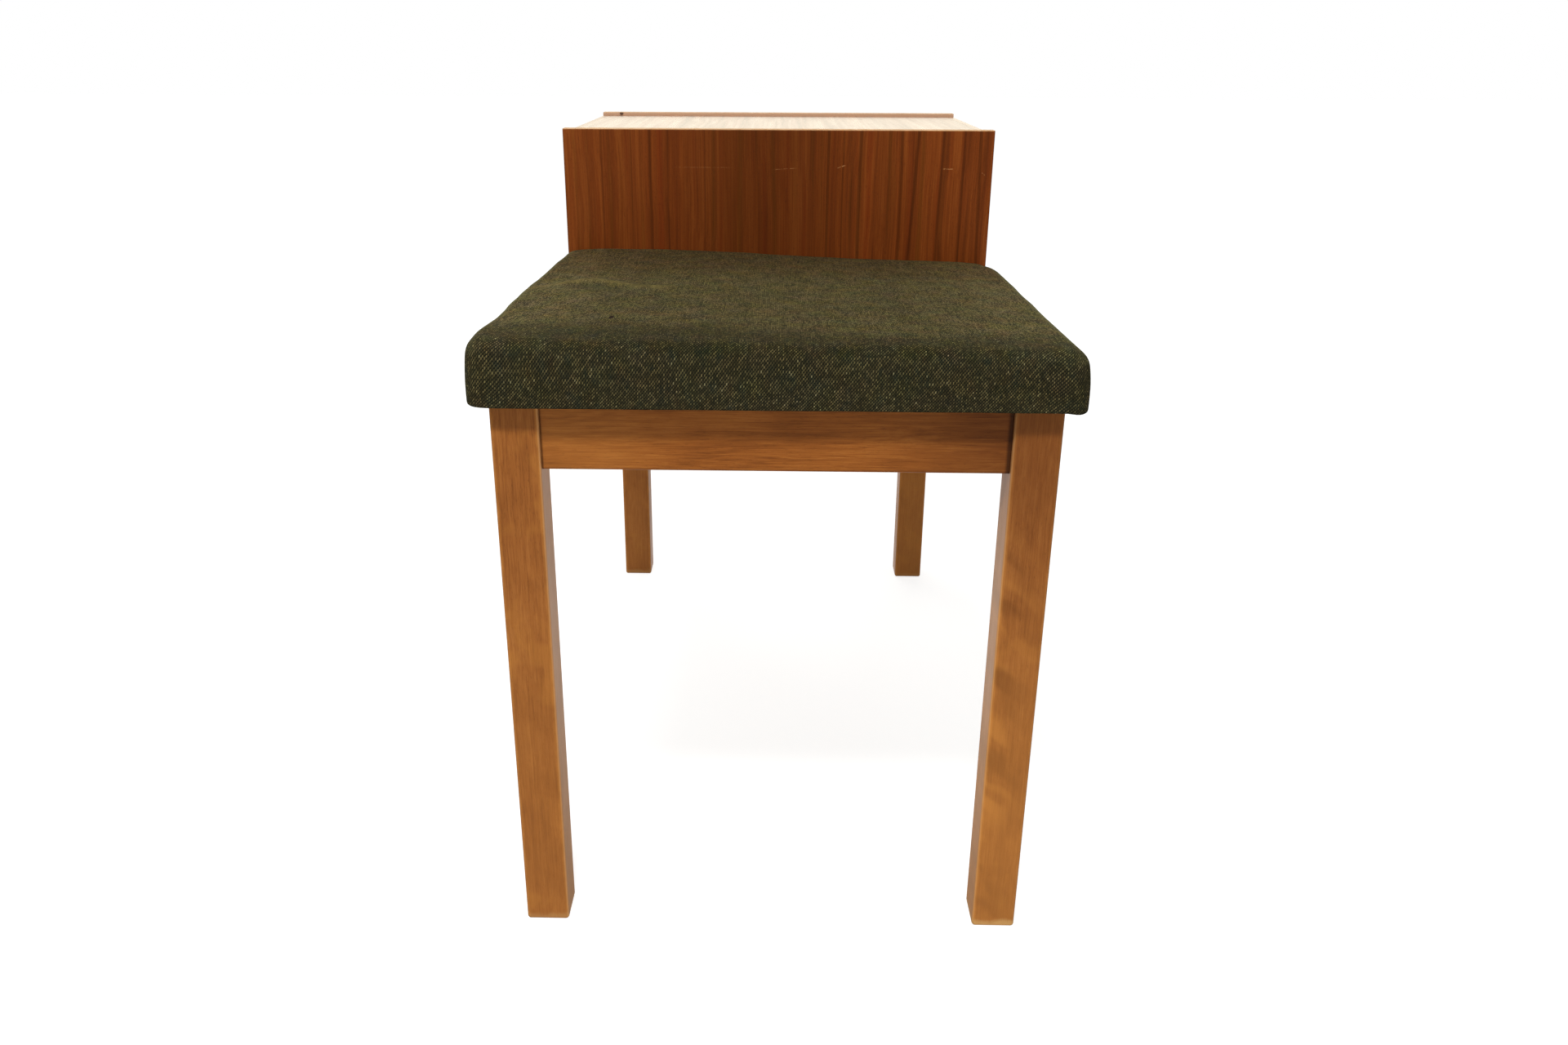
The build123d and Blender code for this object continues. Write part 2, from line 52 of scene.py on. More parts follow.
class Graph:
    """A node tree that starts empty, and short ways to add linked nodes to it."""

    def __init__(self, tree):
        self.nodes, self.links = tree.nodes, tree.links
        self.nodes.clear()

    def plug(self, socket, value):
        if isinstance(value, bpy.types.NodeSocket):
            self.links.new(value, socket)
        else:
            socket.default_value = value

    def node(self, kind, inputs, **settings):
        made = self.nodes.new(kind)
        for key, value in settings.items():
            setattr(made, key, value)
        for key, value in inputs.items():
            self.plug(made.inputs[key], value)
        return made

    def math(self, operation, *values):
        made = self.node("ShaderNodeMath", dict(enumerate(values)), operation=operation)
        return made.outputs[0]

    def vector(self, operation, *vectors, scale=None):
        inputs = dict(enumerate(vectors))
        if scale is not None:
            inputs["Scale"] = scale
        made = self.node("ShaderNodeVectorMath", inputs, operation=operation)
        return made.outputs[1 if operation in ("LENGTH", "DOT_PRODUCT") else 0]

    def apart(self, vector):
        return self.node("ShaderNodeSeparateXYZ", {0: vector}).outputs[:3]

    def together(self, x, y, z):
        return self.node("ShaderNodeCombineXYZ", {0: x, 1: y, 2: z}).outputs[0]

    def between(self, value, low, high, out_low=0.0, out_high=1.0):
        """value's smooth passage from low to high, as out_low to out_high."""
        inputs = {0: value, 1: low, 2: high, 3: out_low, 4: out_high}
        made = self.node("ShaderNodeMapRange", inputs, interpolation_type="SMOOTHSTEP")
        return made.outputs[0]

    def noise(self, vector, scale=1.0, detail=2.0, roughness=0.5, coloured=False):
        """A value about 0.5, or three unlike ones as a colour."""
        inputs = {"Vector": vector, "Scale": scale, "Detail": detail, "Roughness": roughness}
        return self.node("ShaderNodeTexNoise", inputs).outputs[1 if coloured else 0]

    def colour(self, share, a, b, blend="MIX"):
        made = self.node("ShaderNodeMix", {0: share, 6: a, 7: b},
                         data_type="RGBA", blend_type=blend)
        return made.outputs[2]

    def ramp(self, value, *stops):
        made = self.node("ShaderNodeValToRGB", {0: value})
        marks = made.color_ramp.elements
        while len(marks) < len(stops):
            marks.new(0.5)
        for mark, (at, tone) in zip(marks, stops):
            mark.position = at
            mark.color = rgb(*tone)
        return made.outputs[0]

    def edge(self, radius):
        """(how near an outside edge is, a normal rounded at the edges)."""
        round_normal = self.node("ShaderNodeBevel", {"Radius": radius}, samples=6).outputs[0]
        flat = self.node("ShaderNodeNewGeometry", {}).outputs["Normal"]
        same = self.vector("DOT_PRODUCT", round_normal, flat)
        return self.between(same, 0.995, 0.80), round_normal

    def bump(self, height, distance, normal=None, strength=1.0):
        inputs = {"Height": height, "Distance": distance, "Strength": strength}
        if normal is not None:
            inputs["Normal"] = normal
        return self.node("ShaderNodeBump", inputs).outputs[0]


class Finish(Graph):
    """One node material: a Principled shader, and the place on the piece in mm."""

    def __init__(self, name):
        self.material = bpy.data.materials.new(name)
        self.material.use_nodes = True
        super().__init__(self.material.node_tree)
        self.shader = self.node("ShaderNodeBsdfPrincipled", {})
        self.node("ShaderNodeOutputMaterial", {0: self.shader.outputs[0]})
        texture_place = self.node("ShaderNodeTexCoord", {})
        self.normal = texture_place.outputs["Normal"]
        self.place = self.vector("SCALE", texture_place.outputs["Object"], scale=1 / MM)

    def surface(self, inputs):
        """Plugs values into the shader, and gives the finished material."""
        for key, value in inputs.items():
            self.plug(self.shader.inputs[key], value)
        return self.material


def rgb(r, g, b):
    """A colour as seen on a screen, 0 to 255, in Blender's linear values."""
    def linear(v):
        v /= 255
        return v / 12.92 if v <= 0.04045 else ((v + 0.055) / 1.055) ** 2.4
    return (linear(r), linear(g), linear(b), 1.0)


def grain_frame(f, along, seed):
    """Two coordinates across the grain and one along it, in millimetres."""
    x, y, z = f.apart(f.place)
    across = {"X": (y, z, x), "Y": (x, z, y), "Z": (x, y, z)}[along]
    return [f.math("ADD", v, seed * step) for v, step in zip(across, (37.0, 53.0, 71.0))]


# ------------------------------------------------------------------ wood

JOINT = 145.0   # from the middle to the seat end apron's joints with the legs, in mm
STREAK_LEVEL = 470.0   # the z in mm at which a streak's place on the end panel is given
TOP_LEVEL = 517.0   # of the cabinet's top panel, z in mm


def beech(name, along, seed, leg=None, waves=0.0, foot=0.3, stained=True,
          head_shade=0.0, shin_light=0.16, end_light_and_shade=None):
    """Beech: fine rings, short dark flecks along the grain and soft patches.

    leg is the centre (x, y) in mm of a square leg, whose arrises and foot are worn
    paler, and whose side that faces the other leg is paler with a painted reflection.
    waves is how strongly the slanting waves in a leg's figure show, head how dark
    painted shade of the seat makes its upper part and shin how pale painted light from
    the floor makes its lower part. end_light_and_shade is how dark painted shade makes a rail
    towards its +Y end, where its joint is open; with it come painted light towards the
    -Y end and painted shade in both joints.
    """
    f = Finish(name)
    x, y, z = f.apart(f.place)
    a, b, g = grain_frame(f, along, seed)

    def grain(across, lengthwise, detail=2, roughness=0.5, drift=None):
        first = f.math("MULTIPLY", a, across)
        if drift is not None:
            first = f.math("ADD", first, drift)
        place = f.together(first, f.math("MULTIPLY", b, across),
                           f.math("MULTIPLY", g, lengthwise))
        return f.noise(place, detail=detail, roughness=roughness)

    wander = f.math("MULTIPLY", grain(0.03, 0.006, detail=3), 22.0)
    rings = grain(0.50, 0.006, detail=3, roughness=0.6, drift=wander)
    fine = grain(1.7, 0.045, detail=3)
    fleck = grain(2.6, 0.30, detail=1, roughness=0.4)
    patch = grain(0.035, 0.014, detail=3, roughness=0.55)
    figure = f.math("MULTIPLY_ADD", rings, 0.36,
                    f.math("MULTIPLY_ADD", fine, 0.34, f.math("MULTIPLY", patch, 0.34)))
    if stained:
        dark, middle, light, worn, raw = ((90, 44, 11), (144, 82, 29), (176, 111, 47),
                                          (204, 136, 64), (196, 162, 104))
        if leg:
            dark, middle, light = (94, 48, 16), (147, 87, 36), (178, 116, 56)
    else:
        dark, middle, light, worn, raw = ((168, 128, 88), (205, 168, 124), (224, 192, 150),
                                          (232, 204, 166), (232, 204, 166))
    spread = 0.29 if leg else 0.24
    wood = f.ramp(figure, (0.52 - spread, dark), (0.52, middle), (0.52 + spread, light))
    wood = f.colour(f.math("MULTIPLY", f.between(fleck, 0.60, 0.72), 0.24), wood,
                    rgb(*(v * 0.6 for v in dark)))
    if leg:
        blotch = grain(0.026, 0.020, detail=3, roughness=0.6)
        wood = f.colour(f.between(blotch, 0.50, 0.66, 0.0, 0.13), wood, rgb(*dark))
        wood = f.colour(f.between(blotch, 0.46, 0.34, 0.0, 0.22), wood, rgb(190, 126, 52))
    if waves:
        # bands of turned fibre that slant down across the face and fade along it
        slant = f.math("MULTIPLY_ADD", b, 0.85, g)
        band = f.noise(f.together(f.math("MULTIPLY", slant, 0.034),
                                  f.math("MULTIPLY", b, 0.020), 0.0), detail=1.5)
        # strongest from knee height down and towards the inner edge
        share = f.math("MULTIPLY", f.between(z, 330.0, 250.0, 0.0, waves),
                       f.between(f.math("ABSOLUTE", y), 146.0, 172.0, 1.0, 0.25))
        wood = f.colour(f.math("MULTIPLY", f.between(band, 0.50, 0.64), share), wood,
                        rgb(98, 52, 18))
        wood = f.colour(f.math("MULTIPLY", f.between(band, 0.46, 0.36),
                               f.math("MULTIPLY", share, 0.6)), wood, rgb(206, 136, 60))
    near_edge, round_normal = f.edge(0.9 * MM)
    rubbed = f.noise(f.place, scale=0.09, detail=4)
    wear = f.math("MULTIPLY", near_edge, f.between(rubbed, 0.35, 0.65, 0.10, 0.60))
    if leg:
        # the arrises are worn raggedly, from 12 to 15 mm out from the leg's middle
        from_middle = [f.math("ABSOLUTE", f.math("SUBTRACT", v, c))
                       for v, c in zip((x, y), leg)]
        corner = f.math("MINIMUM", *from_middle)
        ragged = f.math("MULTIPLY_ADD", rubbed, 2.2, f.math("SUBTRACT", corner, 1.1))
        wear = f.math("MAXIMUM", wear, f.between(ragged, 12.3, 14.7, 0.0, 0.55))
    wood = f.colour(wear, wood, rgb(*worn))
    if leg:
        # painted reflection: the side that faces the other leg is paler, as if it mirrored the
        # white room
        inward_reflection = f.math("MULTIPLY", f.apart(f.normal)[1], -math.copysign(1, leg[1]))
        thin = 0.5 if leg[0] > 0 else 0.2
        wood = f.colour(f.between(inward_reflection, 0.5, 0.8, 0.0, thin), wood, rgb(220, 168, 112))
        fibres = f.math("MULTIPLY_ADD", rubbed, 7.0, f.math("MULTIPLY_ADD", fine, 4.0, z))
        wood = f.colour(f.between(fibres, 12.5, 8.0, 0.0, foot), wood, rgb(*raw))
        # painted light: the lower part paler, as if lit from the floor
        wood = f.colour(f.between(z, 330.0, 60.0, 0.0, shin_light), wood, rgb(*worn))
        # painted shade: the upper part darker, where the seat shades it
        wood = f.colour(f.between(z, 230.0, 385.0, 0.0, head_shade), wood, rgb(*dark))
    if end_light_and_shade:
        # painted shade towards the +Y end, and painted light towards the -Y end
        wood = f.colour(f.between(y, 40.0, 150.0, 0.0, end_light_and_shade), wood, rgb(74, 36, 12))
        wood = f.colour(f.between(y, -40.0, -150.0, 0.0, 0.14), wood, rgb(*worn))
        # painted shade in the open joints with the legs, wider at the +Y end
        wood = f.colour(f.between(y, JOINT - 4.0, JOINT - 1.5, 0.0, 0.75), wood,
                        rgb(36, 17, 7))
        wood = f.colour(f.between(y, 1.6 - JOINT, 0.6 - JOINT, 0.0, 0.6), wood,
                        rgb(48, 22, 9))
    roughest, smoothest = (0.50, 0.34) if stained else (0.75, 0.55)
    relief = f.math("MULTIPLY_ADD", fleck, 0.6, fine)
    return f.surface({"Base Color": wood,
                      "Roughness": f.between(figure, 0.2, 0.8, roughest, smoothest),
                      "Specular IOR Level": 0.17 if stained else 0.2,
                      "Normal": f.bump(relief, 0.04 * MM, round_normal)})


def teak(name, along, seed, streaks=(), scratches=(), marks=(), solid=False,
         gloss=0.34, shine=0.10, relief_depth=0.04, coat=0.0, band=None, seat_shade=None,
         rubbing=(0.25, 0.75), lip_highlight=None):
    """Teak: uneven stripes along the grain that change between red and green brown.

    streaks are dark lines (place, half width, strength, lean) up the face, in mm,
    scratches pale marks (y, z, half length, slope, strength) and marks dark dents
    (x, y, z, radius). band is the colour of a lipping on the top edge, lip the colour
    of a painted highlight on the inner side, along the top panel. rise (low, high,
    share) is painted shade of the seat: it darkens the wood by the share at low and by
    nothing at high.
    """
    f = Finish(name)
    a, b, g = grain_frame(f, along, seed)
    _, y, z = f.apart(f.place)
    wander = f.noise(f.together(f.math("MULTIPLY", a, 0.012), f.math("MULTIPLY", b, 0.012),
                                f.math("MULTIPLY", g, 0.007)), detail=2)
    drift = f.math("MULTIPLY", f.math("SUBTRACT", wander, 0.5), 10.0)
    across = f.math("ADD", a, drift), f.math("ADD", b, drift)

    def stripes(pitch, length, detail=2, roughness=0.5):
        place = f.together(f.math("DIVIDE", across[0], pitch),
                           f.math("DIVIDE", across[1], pitch), f.math("DIVIDE", g, length))
        return f.noise(place, detail=detail, roughness=roughness)

    broad = stripes(24.0, 900.0)
    middle = stripes(6.5, 420.0, detail=3, roughness=0.55)
    fine = stripes(0.95, 90.0, detail=3, roughness=0.6)
    pores = f.between(stripes(0.34, 3.4, detail=1), 0.62, 0.72)
    hue = stripes(9.0, 700.0)
    figure = f.math("MULTIPLY_ADD", broad, 0.24,
                    f.math("MULTIPLY_ADD", middle, 0.42, f.math("MULTIPLY", fine, 0.34)))
    if solid:
        tones = ((88, 44, 16), (140, 78, 32), (176, 108, 52))
    else:
        tones = ((82, 36, 11), (130, 63, 22), (166, 92, 38))
    wood = f.ramp(figure, (0.27, tones[0]), (0.50, tones[1]), (0.73, tones[2]))
    wood = f.colour(f.between(hue, 0.52, 0.70, 0.0, 0.30), wood, rgb(126, 46, 14))
    wood = f.colour(f.between(hue, 0.46, 0.30, 0.0, 0.34), wood, rgb(96, 58, 14))
    dark_share = f.math("MULTIPLY", f.between(middle, 0.42, 0.28), 0.28)
    for at, half, strength, lean in streaks:
        # the place of the streak leans a little and wavers along its length
        here = f.math("MULTIPLY_ADD", f.math("SUBTRACT", z, STREAK_LEVEL), -lean,
                      f.math("SUBTRACT", y, at))
        here = f.math("ABSOLUTE", f.math("MULTIPLY_ADD", drift, 0.35, here))
        line = f.between(here, half * 1.8, half * 0.3, 0.0, strength)
        dark_share = f.math("MAXIMUM", dark_share, line)
    wood = f.colour(dark_share, wood, rgb(50, 22, 5))
    wood = f.colour(f.math("MULTIPLY", pores, 0.30), wood, rgb(44, 18, 5))
    for y0, z0, half, slope, strength in scratches:
        along_mark = f.math("SUBTRACT", y, y0)
        off = f.math("ABSOLUTE", f.math("MULTIPLY_ADD", along_mark, -slope,
                                        f.math("SUBTRACT", z, z0)))
        mark = f.math("MULTIPLY", f.between(off, 0.55, 0.15),
                      f.between(f.math("ABSOLUTE", along_mark), half, half * 0.6))
        broken = f.between(f.noise(f.place, scale=0.9, detail=2), 0.38, 0.60)
        mark = f.math("MULTIPLY", f.math("MULTIPLY", mark, broken), strength)
        wood = f.colour(mark, wood, rgb(206, 146, 92))
    near_edge, round_normal = f.edge(0.8 * MM)
    rubbed = f.noise(f.place, scale=0.06, detail=4)
    wear = f.math("MULTIPLY", near_edge, f.between(rubbed, 0.35, 0.65, *rubbing))
    wood = f.colour(wear, wood, rgb(172, 106, 50))
    if band:
        edge_grain = f.ramp(f.math("MULTIPLY_ADD", fine, 0.5, f.math("MULTIPLY", rubbed, 0.5)),
                            (0.3, tuple(v * 0.82 for v in band)), (0.7, band))
        wood = f.colour(f.between(f.apart(f.normal)[2], 0.35, 0.75), wood, edge_grain)
    if lip_highlight:
        # painted highlight: a pale line on the inner side where it meets the top panel
        inner = f.math("MULTIPLY", f.between(f.apart(f.normal)[0], 0.35, 0.75),
                       f.between(z, TOP_LEVEL - 0.5, TOP_LEVEL + 0.5))
        wood = f.colour(inner, wood, rgb(*lip_highlight))
    for spot in marks:
        away = f.vector("LENGTH", f.vector("SUBTRACT", f.place, spot[:3]))
        wood = f.colour(f.between(away, spot[3], spot[3] * 0.6, 0.0, 0.85), wood,
                        rgb(58, 24, 12))
    if seat_shade:
        # painted shade: darker towards the seat
        low, high, share = seat_shade
        wood = f.colour(f.between(z, low, high, share, 0.0), wood, rgb(40, 16, 3))
    if coat:
        level = f.noise(f.place, scale=0.012, detail=2)
        f.surface({"Coat Normal": f.bump(level, 0.02 * MM, round_normal)})
    relief = f.math("SUBTRACT", fine, f.math("MULTIPLY", pores, 0.8))
    rough = f.between(middle, 0.3, 0.7, gloss + 0.08, gloss - 0.04)
    return f.surface({"Base Color": wood,
                      "Roughness": f.math("ADD", f.math("MULTIPLY", pores, 0.2), rough),
                      "Specular IOR Level": shine,
                      "Coat Weight": coat,
                      "Coat Roughness": 0.26,
                      "Normal": f.bump(relief, relief_depth * MM, round_normal)})


PLY = 1.5   # thickness of one layer, in mm


def plywood(name, thin):
    """Birch plywood: pale flat veneer, and darker crossed layers at the cut edges.

    thin is the axis, 1 for Y or 2 for Z, through the board's thickness.
    """
    f = Finish(name)
    x, y, z = f.apart(f.place)
    grain = f.noise(f.together(f.math("MULTIPLY", x, 0.02), f.math("MULTIPLY", y, 0.5),
                               f.math("MULTIPLY", z, 0.5)), detail=4, roughness=0.6)
    face = f.ramp(grain, (0.3, (184, 148, 100)), (0.52, (206, 173, 126)),
                  (0.75, (220, 192, 150)))
    layer = f.math("PINGPONG", f.math("DIVIDE", (x, y, z)[thin], PLY), 1.0)
    speck = f.noise(f.place, scale=1.4, detail=2)
    edge_tone = f.ramp(f.math("MULTIPLY_ADD", speck, 0.3, f.math("MULTIPLY", layer, 0.7)),
                       (0.25, (128, 88, 52)), (0.6, (196, 158, 110)))
    facing = f.math("ABSOLUTE", f.apart(f.normal)[thin])
    return f.surface({"Base Color": f.colour(f.between(facing, 0.4, 0.7), edge_tone, face),
                      "Roughness": f.between(grain, 0.3, 0.7, 0.62, 0.8),
                      "Normal": f.bump(grain, 0.15 * MM, f.edge(0.5 * MM)[1])})


def steel():
    """Zinc-plated steel with faint drawn lines and dull spots."""
    f = Finish("plated_steel")
    spots = f.noise(f.place, scale=0.8, detail=4, roughness=0.6)
    lines = f.noise(f.vector("MULTIPLY", f.place, (6.0, 6.0, 0.4)), detail=2)
    tone = f.ramp(spots, (0.3, (128, 126, 120)), (0.55, (176, 175, 170)),
                  (0.8, (200, 199, 192)))
    return f.surface({"Base Color": tone,
                      "Metallic": 1.0,
                      "Roughness": f.between(spots, 0.3, 0.75, 0.28, 0.52),
                      "Normal": f.bump(lines, 0.02 * MM, f.edge(0.2 * MM)[1])})


def foam():
    """Yellowed open-cell foam."""
    f = Finish("open_foam")
    cells = f.node("ShaderNodeTexVoronoi", {"Vector": f.place, "Scale": 0.9}).outputs[0]
    patch = f.noise(f.place, scale=0.03, detail=3)
    tone = f.ramp(f.math("MULTIPLY_ADD", cells, 0.4, patch),
                  (0.3, (176, 142, 84)), (0.6, (214, 186, 126)), (0.9, (228, 204, 150)))
    return f.surface({"Base Color": tone,
                      "Roughness": f.between(patch, 0.2, 0.8, 0.85, 0.97),
                      "Normal": f.bump(cells, 0.5 * MM)})


# ------------------------------------------------------------------ woven wool

YARN_LEAN = math.radians(76)    # the raised yarns lean this much from level
YARN_ACROSS, YARN_ALONG = 0.93, 2.0   # from one raised yarn to the next, in mm
DOT_LENGTH, DOT_WIDTH = 0.78, 0.43   # half of what shows of a raised yarn, in mm
WEAVE_MAP = "weave"
SPOT = (267.0, -105.5, 0.0)   # a small dark spot on the seat, at x and y in mm
# the crease is an arch, in mm: at the first x in its middle, and back at the second x
# at its reach to either side
CREASE_MIDDLE, CREASE_REACH = -138.0, 42.0
CREASE_X = 127.0, 154.0


def raised_yarns(f, u, v, fibres):
    """How high the leaning, staggered dots of the warp stand at a place on the cloth, and
    the column and step that number each dot."""
    columns = f.math("DIVIDE", u, YARN_ACROSS)
    column = f.math("FLOOR", columns)
    stagger = f.math("MULTIPLY", f.math("PINGPONG", column, 1.0), 0.5)
    steps = f.math("ADD", f.math("DIVIDE", v, YARN_ALONG), stagger)
    x = f.math("MULTIPLY", f.math("SUBTRACT", f.math("FRACT", columns), 0.5), YARN_ACROSS)
    y = f.math("MULTIPLY", f.math("SUBTRACT", f.math("FRACT", steps), 0.5), YARN_ALONG)
    c, s = math.cos(YARN_LEAN), math.sin(YARN_LEAN)
    along = f.math("ADD", f.math("MULTIPLY", x, c), f.math("MULTIPLY", y, s))
    across = f.math("SUBTRACT", f.math("MULTIPLY", y, c), f.math("MULTIPLY", x, s))
    reach = f.math("ADD",
                   f.math("POWER", f.math("DIVIDE", along, DOT_LENGTH), 2.0),
                   f.math("POWER", f.math("DIVIDE", across, DOT_WIDTH), 2.0))
    reach = f.math("MULTIPLY_ADD", f.math("SUBTRACT", fibres, 0.5), 2.4, reach)
    crown = f.math("SQRT", f.math("MAXIMUM", f.math("SUBTRACT", 1.0, reach), 0.0))
    return crown, column, f.math("FLOOR", steps)


def worn_and_lit_cloth(f, cloth, rubbed, patch, mottle):
    """The cloth's tone as use has left it, with painted light and shade, from its place and
    slope on the seat.

    rubbed is the tone of its matted fibres, patch a slow change and mottle a tint.
    """
    x, y, _ = f.apart(f.place)
    sideways, upward = f.apart(f.normal)[1:]
    # flat wear brings the khaki surface fibres up on what faces the sitter, as far as a
    # line that runs nearer to the front edge on the +Y half
    forward = f.math("ADD", x, f.between(y, -60.0, 50.0, 5.0, -14.0))
    forward = f.math("ADD", forward, f.between(y, 90.0, 140.0, 0.0, 13.0))
    matted = f.math("MULTIPLY", f.between(upward, 0.70, 0.985, 0.0, 0.36),
                    f.between(forward, 318.0, 274.0, 0.10, 1.0))
    cloth = f.colour(matted, cloth, f.ramp(rubbed, (0.43, (36, 33, 21)), (0.52, (84, 74, 47)),
                                           (0.61, (138, 120, 78))))
    # painted light and shade from the cabinet make the cloth redder and darker by it; it is
    # also paler along both sides and darker towards the front
    worn = f.colour(f.between(x, 50.0, 135.0), (1.0, 0.86, 0.78, 1.0),
                    (1.11, 1.12, 1.05, 1.0))
    gain = f.math("MULTIPLY", f.between(f.math("ABSOLUTE", y), 85.0, 165.0, 1.0, 1.32),
                  f.between(forward, 272.0, 306.0, 1.0, 0.82))
    cloth = f.colour(f.between(upward, 0.2, 0.7), cloth, f.vector("SCALE", worn, scale=gain),
                     "MULTIPLY")
    cloth = f.colour(f.between(upward, 0.2, 0.7, 0.5, 1.0), cloth, mottle, "MULTIPLY")
    # the crease: a painted highlight on a ridge in an arch, with painted shade in front of it
    from_middle = f.math("ABSOLUTE", f.math("SUBTRACT", y, CREASE_MIDDLE))
    from_crease = f.math("SUBTRACT", x, f.between(from_middle, 0.0, CREASE_REACH, *CREASE_X))
    ridge_highlight = f.math("MULTIPLY", f.between(from_middle, 72.0, 48.0),
                   f.between(f.math("ABSOLUTE", from_crease), 11.0, 1.0, 0.0, 0.36))
    ridge_highlight = f.math("MULTIPLY", ridge_highlight, f.between(patch, 0.35, 0.60, 0.4, 1.0))
    cloth = f.colour(ridge_highlight, cloth, rgb(134, 118, 66))
    from_dip = f.math("ABSOLUTE", f.math("SUBTRACT", from_crease, 21.0))
    dip = f.math("MULTIPLY", f.between(f.math("ABSOLUTE", f.math("ADD", y, 129.0)), 30.0, 12.0),
                 f.between(from_dip, 15.0, 5.0, 0.0, 0.24))
    cloth = f.colour(dip, cloth, rgb(34, 38, 30))
    # painted sheen: pale green where the top rolls over into the long sides
    roll = f.math("MULTIPLY", f.between(f.math("ABSOLUTE", sideways), 0.10, 0.55),
                  f.between(upward, 0.15, 0.5))
    roll = f.math("MULTIPLY", roll, f.between(forward, 326.0, 290.0, 0.10, 0.42))
    cloth = f.colour(roll, cloth, rgb(122, 122, 84))
    # the spot is drawn long in X, and takes no notice of the height
    spot = f.vector("MULTIPLY", f.vector("SUBTRACT", f.place, SPOT), (0.26, 1.0, 0.0))
    return f.colour(f.between(f.vector("LENGTH", spot), 1.8, 0.9, 0.0, 0.95), cloth,
                    rgb(24, 10, 12))


def wool():
    """Coarse wool in a plain weave: khaki warp rising in staggered dots over a dark weft."""
    f = Finish("woven_wool")
    flat = f.vector("SCALE", f.node("ShaderNodeUVMap", {}, uv_map=WEAVE_MAP).outputs[0],
                    scale=1 / MM)
    slub = f.noise(flat, scale=0.22, coloured=True)
    shift = f.vector("SCALE", f.vector("SUBTRACT", slub, (0.5, 0.5, 0.5)), scale=0.7)
    u, v, _ = f.apart(f.vector("ADD", flat, shift))

    def streaks(across, along, offset=0.0, **look):
        return f.noise(f.together(across, along, offset), **look)

    fibres = streaks(f.math("MULTIPLY", u, 2.6), f.math("MULTIPLY", v, 1.5),
                     detail=3, roughness=0.6)
    crown, column, step = raised_yarns(f, u, v, fibres)
    # every raised dot has its own tone, and every yarn its own drift along its length
    dot = f.node("ShaderNodeTexWhiteNoise", {"Vector": f.together(column, step, 0.0)},
                 noise_dimensions="2D")
    chance = dot.outputs["Value"]
    tint = f.node("ShaderNodeSeparateColor", {0: dot.outputs["Color"]}).outputs[0]
    warp = streaks(f.math("MULTIPLY", column, 3.7), f.math("MULTIPLY", v, 0.045))
    row = f.math("FLOOR", f.math("DIVIDE", v, YARN_ALONG / 2))
    weft = streaks(f.math("MULTIPLY", u, 0.06), f.math("MULTIPLY", row, 3.7), 9.0)
    patch = f.noise(flat, scale=0.055, detail=4, roughness=0.7)
    dye = streaks(f.math("MULTIPLY_ADD", u, 0.125, 26.0),
                  f.math("MULTIPLY_ADD", v, 0.075, 14.0), detail=4, roughness=0.65)
    tone = f.math("MULTIPLY_ADD", warp, 0.36,
                  f.math("MULTIPLY_ADD", chance, 0.46, f.math("MULTIPLY", patch, 0.20)))
    raised = f.ramp(tone, (0.24, (47, 45, 29)), (0.46, (66, 60, 38)), (0.62, (86, 78, 50)),
                    (0.84, (118, 107, 70)))
    under = f.ramp(weft, (0.32, (20, 21, 14)), (0.52, (28, 27, 18)), (0.70, (40, 37, 24)))
    blue = f.between(dye, 0.50, 0.68)
    raised = f.colour(f.math("MULTIPLY", blue, 0.38), raised, rgb(46, 53, 42))
    under = f.colour(f.math("MULTIPLY", blue, 0.55), under, rgb(18, 27, 23))
    red = f.math("MULTIPLY", f.between(dye, 0.45, 0.33), 0.30)
    raised = f.colour(red, raised, rgb(92, 70, 42))
    pale = f.math("MULTIPLY", f.math("GREATER_THAN", tint, 0.988), 0.22)
    raised = f.colour(pale, raised, rgb(178, 168, 126))
    cloth = f.colour(f.between(crown, 0.85, 0.08), raised, under)
    lit = f.between(fibres, 0.3, 0.7, 0.74, 1.24)
    cloth = f.colour(1.0, cloth, f.together(lit, lit, lit), "MULTIPLY")
    rubbed = f.math("MULTIPLY_ADD", fibres, 0.40, f.math("MULTIPLY", patch, 0.26))
    rubbed = f.math("MULTIPLY_ADD", f.math("MULTIPLY", chance, crown), 0.30, rubbed)
    rubbed = f.math("MULTIPLY_ADD", warp, 0.25, rubbed)
    mottle = f.noise(flat, scale=0.06, detail=3, roughness=0.6, coloured=True)
    mottle = f.vector("ADD", f.vector("MULTIPLY", mottle, (0.55, 0.40, 1.0)),
                      (0.725, 0.80, 0.5))
    relief = f.math("MULTIPLY_ADD", fibres, 0.25, crown)
    return f.surface({"Base Color": worn_and_lit_cloth(f, cloth, rubbed, patch, mottle),
                      "Roughness": f.between(fibres, 0.2, 0.8, 0.82, 0.98),
                      "Specular IOR Level": 0.05,
                      "Sheen Weight": 0.05,
                      "Sheen Roughness": 0.45,
                      "Sheen Tint": rgb(186, 168, 100),
                      "Normal": f.bump(relief, 0.30 * MM, strength=0.8)})


# ------------------------------------------------------------------ the seat cushion

